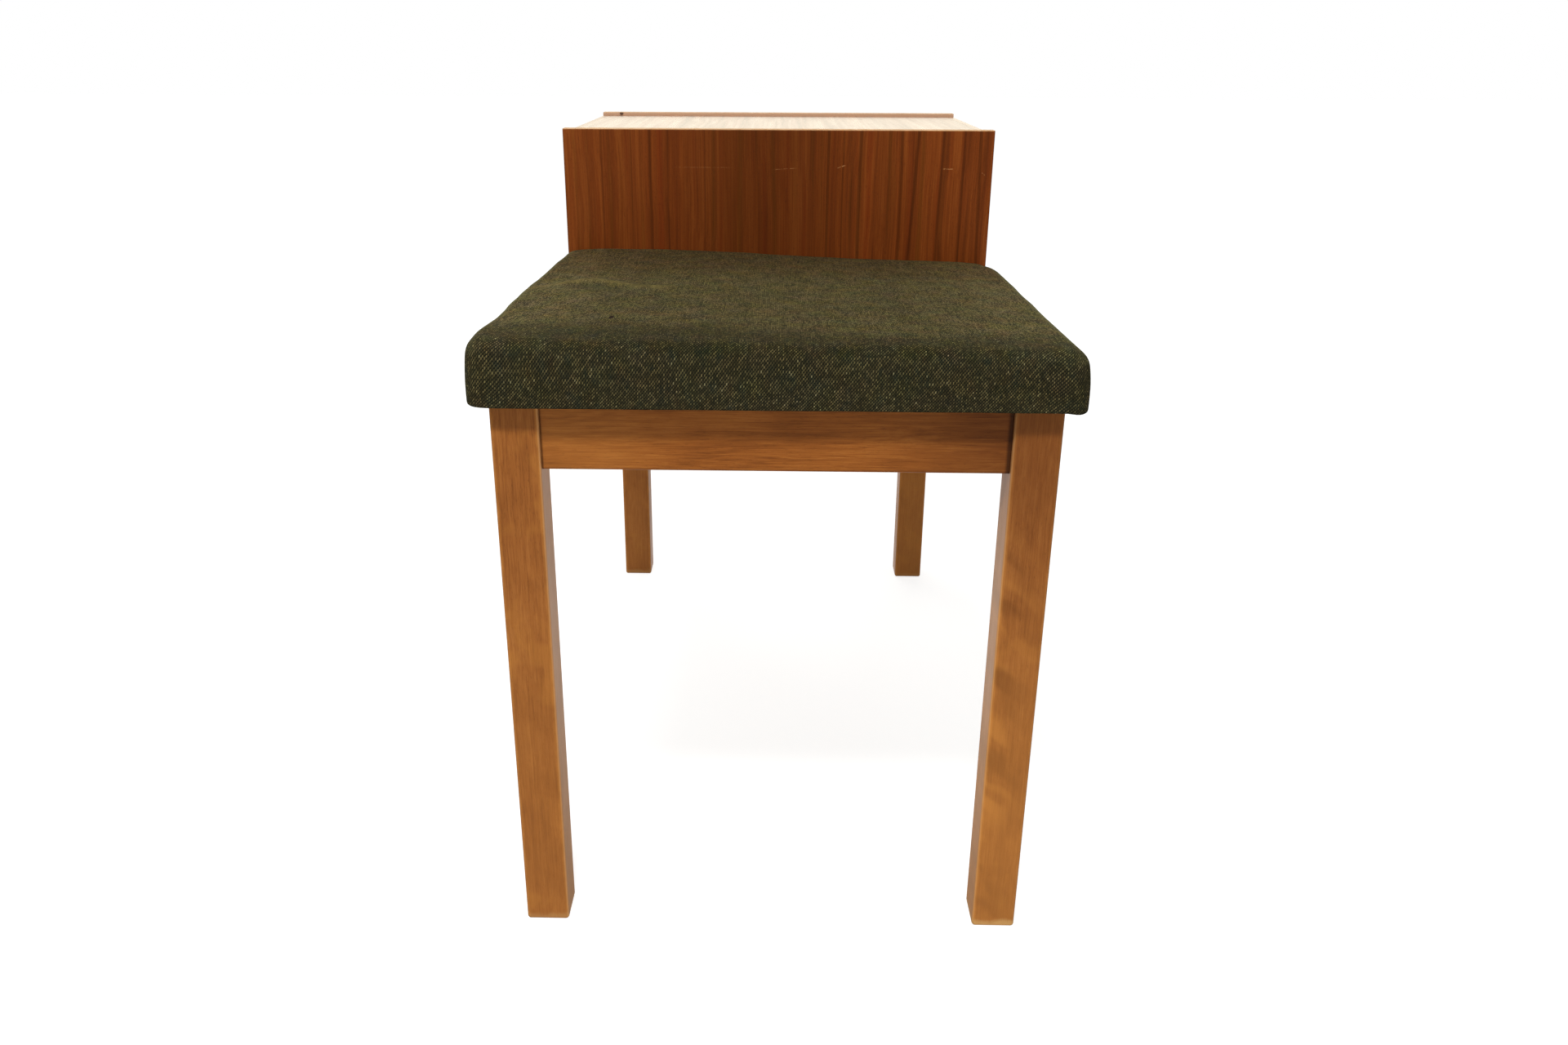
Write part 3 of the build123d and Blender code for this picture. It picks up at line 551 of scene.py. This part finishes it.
SEAT_LOW, SEAT_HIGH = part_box("seat_cover")
SEAT_HIGH.z -= 0.0035   # from the crown's peak to its edges
MIDDLE = (SEAT_LOW + SEAT_HIGH) / 2
HALF_X, HALF_Y = (SEAT_HIGH.x - SEAT_LOW.x) / 2, (SEAT_HIGH.y - SEAT_LOW.y) / 2
SIDE_CELLS, END_CELLS = 76, 72   # cells along X and along Y
CELLS = (END_CELLS, SIDE_CELLS) * 2   # along the sides that face +X, +Y, -X and -Y
PLAN_CORNER, LEAST_CORNER = 0.014, 0.0012   # radii seen from above, outside and inside
BOTTOM_ROLL = 0.0018
TOP_ROLL_IN, TOP_ROLL_DOWN = 0.0120, 0.0108
BOARD_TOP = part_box("seat_board")[1].z
MARGIN = 0.046   # of cover turned in under the board
SWELL = 1.5 * MM   # the most that the cloth swells, and how much lower its top starts
SWELL_FRAMES = 20
TOP_DEPTH, TOP_WIDTH = 0.363, 0.34   # over which the top's rises are given
SIDE_PULL = 1.0 * MM   # of the sides, halfway between the corners
COVER_THICKNESS = 1.3 * MM
PADDING_INSET = 2.2 * MM   # of the padding's surface inside the cover's


def cushion_rings():
    """(inset, z, length of cloth past the roll's inner edge) from the margin up."""
    low, side_top = SEAT_LOW.z, SEAT_HIGH.z - TOP_ROLL_DOWN
    rings = [(inset, low) for inset in (*np.linspace(MARGIN, 0.008, 8), 0.0045)]
    rings += [(BOTTOM_ROLL * (1 - math.sin(t)), low + BOTTOM_ROLL * (1 - math.cos(t)))
              for t in np.linspace(0.25, math.pi / 2, 4)]
    rings += [(0.0, z) for z in np.linspace(low + BOTTOM_ROLL, side_top, 5)[1:]]
    rings += [(TOP_ROLL_IN * (1 - math.cos(t)), side_top + TOP_ROLL_DOWN * math.sin(t))
              for t in np.linspace(0, math.pi / 2, 8)[1:]]
    steps = [math.dist(a, b) for a, b in zip(rings, rings[1:])] + [0.0]
    cloth = np.cumsum(steps[::-1])[::-1]
    return [(inset, z, length) for (inset, z), length in zip(rings, cloth)]


def side_point(side, i, inset):
    """Point i of the rounded outline on one side, from the seat's middle, and its place
    measured along the side's own outline."""
    half = (HALF_X - inset, HALF_Y - inset)
    radius = max(PLAN_CORNER - inset, LEAST_CORNER)
    across, along = half if side % 2 == 0 else half[::-1]
    straight = along - radius
    reach = straight + radius * math.pi / 4
    s = (-1 + 2 * i / CELLS[side]) * reach
    if abs(s) <= straight:
        point = Vector((across, s))
    else:
        turn = (abs(s) - straight) / radius
        point = Vector((across - radius * (1 - math.cos(turn)),
                        math.copysign(straight + radius * math.sin(turn), s)))
    point.rotate(Matrix.Rotation(side * math.pi / 2, 2))
    return point, s


def build_cushion(name):
    """The seat's closed skin as even quads, with a map that lays its weave out flat."""
    rings = cushion_rings()
    points, numbers, faces, maps = [], {}, [], []

    def vertex(key, x, y, z):
        if key not in numbers:
            numbers[key] = len(points)
            points.append((MIDDLE.x + x, MIDDLE.y + y, z))
        return numbers[key]

    def ring_vertex(j, side, i):
        inset, z, _ = rings[j]
        p, _ = side_point(side, i, inset)
        return vertex(("ring", j, (sum(CELLS[:side]) + i) % sum(CELLS)), p.x, p.y, z)

    def map_place(j, side, i):
        inset, _, out = rings[j]
        _, s = side_point(side, i, inset)
        to_x, to_y = HALF_X - TOP_ROLL_IN + out, HALF_Y - TOP_ROLL_IN + out
        return ((s, -to_x), (to_y, s), (-s, to_x), (-to_y, -s))[side]

    for j in range(len(rings) - 1):
        for side in range(4):
            for i in range(CELLS[side]):
                quad = [(j, i), (j, i + 1), (j + 1, i + 1), (j + 1, i)]
                faces.append([ring_vertex(a, side, b) for a, b in quad])
                maps.append([map_place(a, side, b) for a, b in quad])

    def sheet_faces(ring, upward):
        """Fills a ring with a grid: the top of the seat, or its underside."""
        inset, z, _ = rings[ring]

        def grid_vertex(i, k):
            # i along X from the cabinet, k along Y from the -Y side
            if i == SIDE_CELLS:
                return ring_vertex(ring, 0, k)
            if k == END_CELLS:
                return ring_vertex(ring, 1, SIDE_CELLS - i)
            if i == 0:
                return ring_vertex(ring, 2, END_CELLS - k)
            if k == 0:
                return ring_vertex(ring, 3, i)
            return vertex((ring, i, k), (HALF_X - inset) * (-1 + 2 * i / SIDE_CELLS),
                          (HALF_Y - inset) * (-1 + 2 * k / END_CELLS), z)

        for i in range(SIDE_CELLS):
            for k in range(END_CELLS):
                quad = [(i, k), (i + 1, k), (i + 1, k + 1), (i, k + 1)]
                face = [grid_vertex(*q) for q in (quad if upward else quad[::-1])]
                faces.append(face)
                maps.append([(points[n][1] - MIDDLE.y, -(points[n][0] - MIDDLE.x))
                             for n in face])

    sheet_faces(len(rings) - 1, upward=True)
    sheet_faces(0, upward=False)
    mesh = bpy.data.meshes.new(name)
    mesh.from_pydata(points, [], faces)
    layer = mesh.uv_layers.new(name=WEAVE_MAP)
    layer.uv.foreach_set("vector", np.array(maps, np.float32).ravel())
    mesh.polygons.foreach_set("use_smooth", [True] * len(mesh.polygons))
    mesh.update()
    piece = bpy.data.objects.new(name, mesh)
    scene.collection.objects.link(piece)
    return piece


def coordinates(mesh):
    """The mesh's vertices, one to a row."""
    co = np.empty(len(mesh.vertices) * 3, np.float64)
    mesh.vertices.foreach_get("co", co)
    return co.reshape(-1, 3)


def put_back(mesh, co):
    """Moves the mesh's vertices to these rows."""
    mesh.vertices.foreach_set("co", co.astype(np.float32).ravel())
    mesh.update()


def smooth(value, low, high):
    """0 to 1, as value passes from low to high."""
    t = np.clip((value - low) / (high - low), 0, 1)
    return t * t * (3 - 2 * t)


def hump(value, centre, width):
    """A rounded hump: 1 at the centre, and soon 0 beyond the width."""
    return np.exp(-(((value - centre) / width) ** 2))


def dress(piece, material):
    """Makes the material the only one on the piece."""
    mesh = piece.data
    mesh.materials.clear()
    mesh.materials.append(material)
    mesh.polygons.foreach_set("material_index", [0] * len(mesh.polygons))


def applied(piece):
    """Replaces the piece's mesh by what its modifiers make of it."""
    graph = bpy.context.evaluated_depsgraph_get()
    graph.update()
    made = bpy.data.meshes.new_from_object(piece.evaluated_get(graph),
                                           preserve_all_data_layers=True, depsgraph=graph)
    piece.modifiers.clear()
    piece.data = made


def swell(piece):
    """Presses the skin out from inside, held where it is stapled down under the board."""
    start = coordinates(piece.data)
    held = piece.vertex_groups.new(name="held")
    hold = 1 - smooth(start[:, 2], SEAT_LOW.z + 0.002, SEAT_LOW.z + 0.012)
    # the padding's own firm edges hold the rolled corners from inside
    near_side = np.maximum(
        smooth(np.abs(start[:, 1]), SEAT_HIGH.y - 0.024, SEAT_HIGH.y - 0.008),
        smooth(np.maximum(start[:, 0] - SEAT_HIGH.x, SEAT_LOW.x - start[:, 0]),
               -0.024, -0.008))
    above = smooth(start[:, 2], BOARD_TOP, BOARD_TOP + 0.012)
    hold = np.maximum(hold, 0.6 * near_side * above)
    for index in np.nonzero(hold > 0)[0]:
        held.add([int(index)], float(hold[index]), "REPLACE")
    cloth = piece.modifiers.new("cloth", "CLOTH")
    cloth.settings.quality = 6
    cloth.settings.mass = 0.4
    cloth.settings.tension_stiffness = 18
    cloth.settings.compression_stiffness = 12
    cloth.settings.shear_stiffness = 8
    cloth.settings.bending_stiffness = 0.6
    cloth.settings.use_pressure = True
    cloth.settings.uniform_pressure_force = 4
    cloth.settings.vertex_group_mass = "held"
    cloth.settings.effector_weights.gravity = 0
    cloth.collision_settings.use_collision = False
    cloth.point_cache.frame_start, cloth.point_cache.frame_end = 1, SWELL_FRAMES
    for number in range(1, SWELL_FRAMES + 1):
        scene.frame_set(number)
    graph = bpy.context.evaluated_depsgraph_get()
    swollen = coordinates(piece.evaluated_get(graph).data)
    piece.modifiers.clear()
    scene.frame_set(1)
    move = swollen - start
    size = np.linalg.norm(move, axis=1, keepdims=True)
    move *= SWELL * np.tanh(size / SWELL) / np.maximum(size, 1e-9)
    put_back(piece.data, start + move)


def wave(co, seed, pitch):
    """A soft wandering value from -1 to 1 that changes over about pitch metres."""
    x, y, z = co.T * (2 * math.pi / pitch)
    return (np.sin(x + 1.3 * seed + 0.8 * np.sin(y * 0.7 + seed))
            * np.sin(y * 0.9 - 0.7 * seed + 0.9 * np.sin(x * 0.6 - seed) + z)) * 0.9


def seat_shape(co):
    """The worn seat's own form: higher at the front and at its -Y edge, dipping by the
    cabinet, with a slack fold of cloth under the +Y edge. Heights are in mm."""
    x, y, z = co.T
    co = co.copy()
    to_front, to_back = (x - SEAT_LOW.x) / TOP_DEPTH, 0.5 + y / TOP_WIDTH
    left, right = 422.2 + 5.2 * to_front, 417.9 + 5.1 * to_front   # the -Y and +Y edges
    top = left + (right - left) * to_back + 0.8 * np.cos(np.pi * y / 0.37)
    dip = (0.7 - 5.1 * smooth(y, -0.11, 0.10)) * hump(x, -0.05, 0.042)
    side_dip = -2.0 * smooth(np.abs(y), 0.150, 0.183) * (1 - smooth(x, -0.045, 0.02))
    arch = smooth(np.abs(y - CREASE_MIDDLE * MM), 0, CREASE_REACH * MM)
    crease_x = (CREASE_X[0] + (CREASE_X[1] - CREASE_X[0]) * arch) * MM
    crease = 1.2 * hump(x, crease_x, 0.008) * smooth(np.abs(y + 0.118), 0.055, 0.030)
    valley = -0.9 * hump(x, crease_x + 0.020, 0.011) * smooth(np.abs(y + 0.129), 0.032, 0.012)
    lift = (top + dip + side_dip + crease + valley + 0.35 * wave(co, 2.0, 0.11)
            + 0.12 * wave(co, 5.0, 0.035)) * MM - SEAT_HIGH.z
    co[:, 2] += lift * smooth(z, BOARD_TOP - 0.004, SEAT_HIGH.z - 0.003)
    # the padded sides stand a little proud of the board, and wave slightly
    above = smooth(z, BOARD_TOP, BOARD_TOP + 0.012)
    sides = smooth(np.abs(y), 0.160, 0.175) * np.sign(y)
    bulges = (1.6 * smooth(x, 0.085, 0.130) * (1 - smooth(x, 0.200, 0.232))
              + 2.1 * hump(x, 0.292, 0.025) - 0.5)
    fuller = np.where(y < 0, 3.6 + (bulges - 0.8) * above + 0.6 * smooth(z, 0.412, 0.420),
                      3.9 - 1.4 * above)
    co[:, 1] += sides * MM * (fuller + 0.25 * wave(co[:, [1, 0, 2]], 4.0, 0.09))
    at_front = smooth(x, 0.305, 0.325)
    co[:, 0] += at_front * MM * (0.5 + 0.3 * wave(co, 3.0, 0.07)
                                 - 0.8 * above * smooth(y, 0.05, -0.185))
    low = 1 - smooth(z, SEAT_LOW.z + 0.003, SEAT_LOW.z + 0.020)
    slack = smooth(y, 0.1715, 0.1775) * (0.8 + 0.2 * np.sin(x * 31 + 0.6))
    co[:, 2] -= low * slack * 2.7 * MM
    slack = smooth(-y, 0.1756, 0.1815) * (0.6 + 0.4 * np.sin(x * 27 + 1.9))
    co[:, 2] -= low * slack * 0.9 * MM
    return co


def make_cover():
    """The cover over the seat, and the vertices of its closed skin for the padding."""
    cover = build_cushion("seat_cover_wool")
    co = coordinates(cover.data)
    # the sides pull in a little between the corners
    x, y, z = co.T
    along_x = np.clip((x - MIDDLE.x) / HALF_X, -1, 1)
    along_y = np.clip((y - MIDDLE.y) / HALF_Y, -1, 1)
    pull = SIDE_PULL * smooth(z, BOARD_TOP, BOARD_TOP + 0.010)
    co[:, 1] -= (np.sign(along_y) * smooth(np.abs(along_y), 0.8, 0.97) * pull
                 * (1 - along_x ** 4))
    co[:, 0] -= smooth(along_x, 0.8, 0.97) * pull * (1 - along_y ** 4)
    co[:, 2] -= SWELL * smooth(z, SEAT_LOW.z + 0.01, SEAT_HIGH.z)
    put_back(cover.data, co)
    swell(cover)
    co = coordinates(cover.data)
    co = seat_shape(co)
    # against the cabinet the cloth lies flat on the panel
    co[:, 0] = np.maximum(co[:, 0], SEAT_LOW.x)
    put_back(cover.data, co)
    # the cover is turned in under the board by its margin and ends there
    bm = bmesh.new()
    bm.from_mesh(cover.data)
    gone = []
    for face in bm.faces:
        c = face.calc_center_median()
        if (c.z < SEAT_LOW.z + 0.001 and abs(c.x - MIDDLE.x) < HALF_X - MARGIN
                and abs(c.y - MIDDLE.y) < HALF_Y - MARGIN):
            gone.append(face)
    bmesh.ops.delete(bm, geom=gone, context="FACES")
    bm.to_mesh(cover.data)
    bm.free()
    surface = cover.modifiers.new("even", "SUBSURF")
    surface.levels = surface.render_levels = 1
    skin = cover.modifiers.new("cloth_thickness", "SOLIDIFY")
    skin.thickness, skin.offset = COVER_THICKNESS, -1
    applied(cover)
    dress(cover, wool())
    return cover, co


def make_padding(skin_form):
    """The foam between the board and the cover, a little inside the cover's own form."""
    low = BOARD_TOP + 0.1 * MM
    padding = build_cushion("seat_padding_foam")
    put_back(padding.data, skin_form)
    normal = np.empty(len(padding.data.vertices) * 3)
    padding.data.vertices.foreach_get("normal", normal)
    co = skin_form - normal.reshape(-1, 3) * PADDING_INSET
    co[:, 2] = np.maximum(co[:, 2], low)
    put_back(padding.data, co)
    # what lay below the board's top becomes one flat face
    bm = bmesh.new()
    bm.from_mesh(padding.data)
    flat = [f for f in bm.faces if all(v.co.z < low + 1e-6 for v in f.verts)]
    bmesh.ops.delete(bm, geom=flat, context="FACES")
    rim = [e for e in bm.edges if e.is_boundary]
    bmesh.ops.holes_fill(bm, edges=rim, sides=0)
    bmesh.ops.recalc_face_normals(bm, faces=bm.faces)
    bm.to_mesh(padding.data)
    bm.free()
    dress(padding, foam())
    return padding


cover, skin_form = make_cover()
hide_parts("seat_cover")
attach(cover, "bench")

padding = make_padding(skin_form)
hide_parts("seat_foam")
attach(padding, "bench")


# ------------------------------------------------------------------ finishes of the CAD nodes

FACE_STREAKS = (   # place, half width, strength, lean, in mm on the near end panel
    (-16.0, 62.0, 0.40, 0.0), (-150.0, 34.0, 0.18, 0.0), (92.0, 8.0, 0.16, 0.0),
    (-152.2, 1.0, 0.45, 0.0), (-126.6, 0.8, 0.36, 0.0), (-110.2, 1.4, 0.50, 0.0),
    (-95.2, 0.9, 0.36, 0.0), (-78.5, 4.8, 0.30, 0.0), (-63.2, 0.8, 0.50, 0.0),
    (43.9, 1.2, 0.60, 0.0), (56.6, 0.8, 0.45, 0.0), (70.8, 1.4, 0.55, 0.0),
    (106.1, 1.4, 0.50, 0.0), (118.0, 1.3, 0.48, 0.05), (141.0, 1.2, 0.45, 0.02),
    (159.8, 1.1, 0.50, 0.0), (174.5, 1.2, 0.45, -0.03),
)
FACE_SCRATCHES = (   # y, z, half length, slope, strength
    (55.4, 491.0, 4.4, 0.35, 0.9), (146.7, 489.4, 4.8, 0.0, 0.8),
    (177.2, 485.5, 1.8, -0.6, 0.6), (5.4, 488.7, 12.0, 0.06, 0.25),
    (-65.0, 489.6, 28.0, 0.0, 0.14),
)

LEGS = {   # centre (x, y) in mm, seed, and what is each leg's own in its look
    "leg_seat_front": ((310, -160), 3, {}),
    # this leg has painted shade on its upper part and painted light on its lower part
    "leg_seat_back": ((310, 160), 4, {"waves": 0.62, "foot": 0.85, "head_shade": 0.50,
                                      "shin_light": 0.34}),
    "leg_cabinet_front": ((-306, -160), 5, {}),
    # this leg has painted light on its lower part
    "leg_cabinet_back": ((-306, 160), 17, {"shin_light": 0.40}),
}
EDGE_BAND = (210, 156, 98)
PLAIN = {"cross_rail": "Y", "runner_near": "Y", "runner_outer": "Y",
         "drawer_side_near": "Y", "drawer_side_outer": "Y", "drawer_back": "X",
         "corner_block_seat_front": "Z", "corner_block_seat_back": "Z",
         "corner_block_cabinet_front": "Z", "corner_block_cabinet_back": "Z",
         "frame_dowels": "X", "cabinet_dowels": "X", "drawer_dowels": "Y"}

finishes = {}
for node, (centre, seed, look) in LEGS.items():
    finishes[node] = beech("beech_" + node, "Z", seed, leg=centre, **{"waves": 0.16, **look})
# the seat end apron has painted shade towards its +Y end and in its joints, and painted light
# towards its -Y end
for node, along, seed, look in (("apron_seat_end", "Y", 9, {"end_light_and_shade": 0.52}),
                                ("apron_cabinet_end", "Y", 11, {}),
                                ("rail_front", "X", 12, {}), ("rail_back", "X", 14, {})):
    finishes[node] = beech("beech_" + node, along, seed, **look)
# the near end panel has painted shade towards the seat
finishes["cabinet_end_near"] = teak(
    "teak_end_near", "Z", 2, streaks=FACE_STREAKS, scratches=FACE_SCRATCHES,
    seat_shade=(400.0, 515.0, 0.12), band=EDGE_BAND)
# the outer end panel has a painted highlight along the top panel
finishes["cabinet_end_outer"] = teak(
    "teak_end_outer", "Z", 5, band=EDGE_BAND, rubbing=(0.7, 0.95), lip_highlight=(212, 170, 136),
    marks=[(-319.0, -165.5, 520.0, 2.4)])
finishes["cabinet_top"] = teak("teak_top", "X", 6, gloss=0.30, shine=0.35,
                               relief_depth=0.004, coat=1.0)
finishes["drawer_front"] = teak("teak_drawer_front", "X", 10)
for node in ("top_strip_front", "top_strip_back"):
    finishes[node] = teak("teak_" + node, "X", 13, solid=True, gloss=0.30, coat=1.0)
finishes["drawer_pull"] = teak("teak_drawer_pull", "X", 15, solid=True)
for number, (node, along) in enumerate(PLAIN.items()):
    finishes[node] = beech("beech_" + node, along, 20 + number, stained=False)
finishes |= dict.fromkeys(("seat_board", "cabinet_bottom", "drawer_bottom"),
                          plywood("plywood_flat", 2))
finishes["cabinet_back"] = plywood("plywood_upright", 1)
finishes |= dict.fromkeys(("corner_block_screws", "seat_screws", "seat_staples",
                           "cabinet_screws", "runner_screws", "drawer_pins"), steel())
for node, material in finishes.items():
    dress(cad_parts[node], material)


# ------------------------------------------------------------------ floor, light and camera

ROOM_WHITE, ROOM_DIM = -0.1, 0.5   # along X: white up to the first, dim from the second on
DIM = 0.10
WARM_WHITE = (1.0, 0.97, 0.915, 1.0)   # of the room where it is mirrored
# the floor's glow by the object, where it leaves room for the shadow, and further away
GLOW_REACH, GLOW = (0.7, 1.8), (0.84, 0.92)
LIGHT_GREY, SEEN_GREY = 0.80, 0.42   # of the floor: in the light it gives back, and seen


def sight(g, way):
    """What a background is to each kind of ray: whether it is seen directly, whether it is
    mirrored, and how white the room is where it is mirrored."""
    path = g.node("ShaderNodeLightPath", {})
    mirrored = g.math("MAXIMUM", path.outputs["Is Glossy Ray"],
                      path.outputs["Is Transmission Ray"])
    room = g.between(g.apart(way)[0], ROOM_WHITE, ROOM_DIM, 1.0, DIM)
    return path.outputs["Is Camera Ray"], mirrored, room


def make_floor():
    """A floor that shows white, keeps the object's shadow and gives back some light."""
    mesh = bpy.data.meshes.new("studio_floor")
    reach = 14.0
    mesh.from_pydata([(-reach, -reach, 0), (reach, -reach, 0), (reach, reach, 0),
                      (-reach, reach, 0)], [], [(0, 1, 2, 3)])
    floor = bpy.data.objects.new("studio_floor", mesh)
    scene.collection.objects.link(floor)
    material = bpy.data.materials.new("pale_floor")
    material.use_nodes = True
    g = Graph(material.node_tree)
    position = g.node("ShaderNodeNewGeometry", {}).outputs["Position"]
    seen, mirrored, room = sight(g, position)
    glow = g.between(g.vector("LENGTH", position), *GLOW_REACH, *GLOW)

    def mix(share, first, second):
        return g.node("ShaderNodeMixShader", {0: share, 1: first, 2: second}).outputs[0]

    def paint(grey, strength):
        """A matt grey that also glows."""
        matt = g.node("ShaderNodeBsdfDiffuse", {0: (grey, grey, grey * 0.985, 1)})
        shine = g.node("ShaderNodeEmission", {"Strength": strength})
        both = g.node("ShaderNodeAddShader", {0: matt.outputs[0], 1: shine.outputs[0]})
        return both.outputs[0]

    shown = mix(seen, paint(LIGHT_GREY, 0.0), paint(SEEN_GREY, glow))
    g.node("ShaderNodeOutputMaterial", {0: mix(mirrored, shown, paint(0.0, room))})
    mesh.materials.append(material)


def make_world(ambient):
    """White where it is seen or mirrored, and an even light of the given strength."""
    world = bpy.data.worlds.new("studio")
    scene.world = world
    world.use_nodes = True
    g = Graph(world.node_tree)
    seen, mirrored, room = sight(g, g.node("ShaderNodeTexCoord", {}).outputs["Generated"])
    other = g.math("SUBTRACT", 1.0, g.math("MAXIMUM", seen, mirrored))
    strength = g.math("MULTIPLY_ADD", mirrored, room,
                      g.math("MULTIPLY_ADD", other, ambient, seen))
    tone = g.colour(mirrored, (1, 1, 1, 1), WARM_WHITE)
    sky = g.node("ShaderNodeBackground", {0: tone, "Strength": strength})
    g.node("ShaderNodeOutputWorld", {0: sky.outputs[0]})


def softbox(name, place, target, size, power, colour=(1, 1, 1), mirrored=True):
    """A rectangular lamp that the camera does not see."""
    data = bpy.data.lights.new(name, "AREA")
    data.shape, data.size, data.size_y = "RECTANGLE", *size
    data.energy, data.color = power, colour
    lamp = bpy.data.objects.new(name, data)
    lamp.location = place
    lamp.rotation_euler = (Vector(target) - Vector(place)).to_track_quat("-Z", "Y").to_euler()
    lamp.visible_camera, lamp.visible_glossy = False, mirrored
    scene.collection.objects.link(lamp)


def make_camera():
    """The view from beyond the seat's end, a little from above."""
    data = bpy.data.cameras.new("camera")
    data.sensor_fit, data.sensor_width, data.lens = "HORIZONTAL", 36.0, 27.962
    data.shift_x = 0.0213
    data.clip_start, data.clip_end = 0.02, 60.0
    camera = bpy.data.objects.new("camera", data)
    scene.collection.objects.link(camera)
    pitch, yaw, roll = math.radians(21.49), math.radians(-1.086), math.radians(0.233)
    forward = Vector((-math.cos(yaw) * math.cos(pitch), math.sin(yaw) * math.cos(pitch),
                      -math.sin(pitch)))
    level = Vector((math.sin(yaw), math.cos(yaw), 0.0))
    upward = level.cross(forward)
    right = level * math.cos(roll) + upward * math.sin(roll)
    up = upward * math.cos(roll) - level * math.sin(roll)
    turn = Matrix((right, up, -forward)).transposed().to_4x4()
    camera.matrix_world = Matrix.Translation((1.0359, -0.0015, 0.5897)) @ turn
    scene.camera = camera


make_floor()
make_world(0.25)
softbox("key_softbox", (1.25, -0.28, 1.95), (0.2, 0.0, 0.35), (0.7, 0.18), 32)
softbox("low_softbox", (0.95, 0.05, 0.06), (0.32, 0.0, 0.18), (0.9, 0.12), 1.2,
        mirrored=False)
softbox("back_softbox", (-1.7, -0.2, 2.0), (-0.1, 0.0, 0.4), (1.8, 1.0), 17,
        mirrored=False)
softbox("back_panel", (-2.0, 0.0, 0.80), (0.0, 0.0, 0.70), (3.2, 1.1), 5.5,
        colour=(1.0, 0.92, 0.54))
make_camera()

scene.view_settings.view_transform = "Standard"
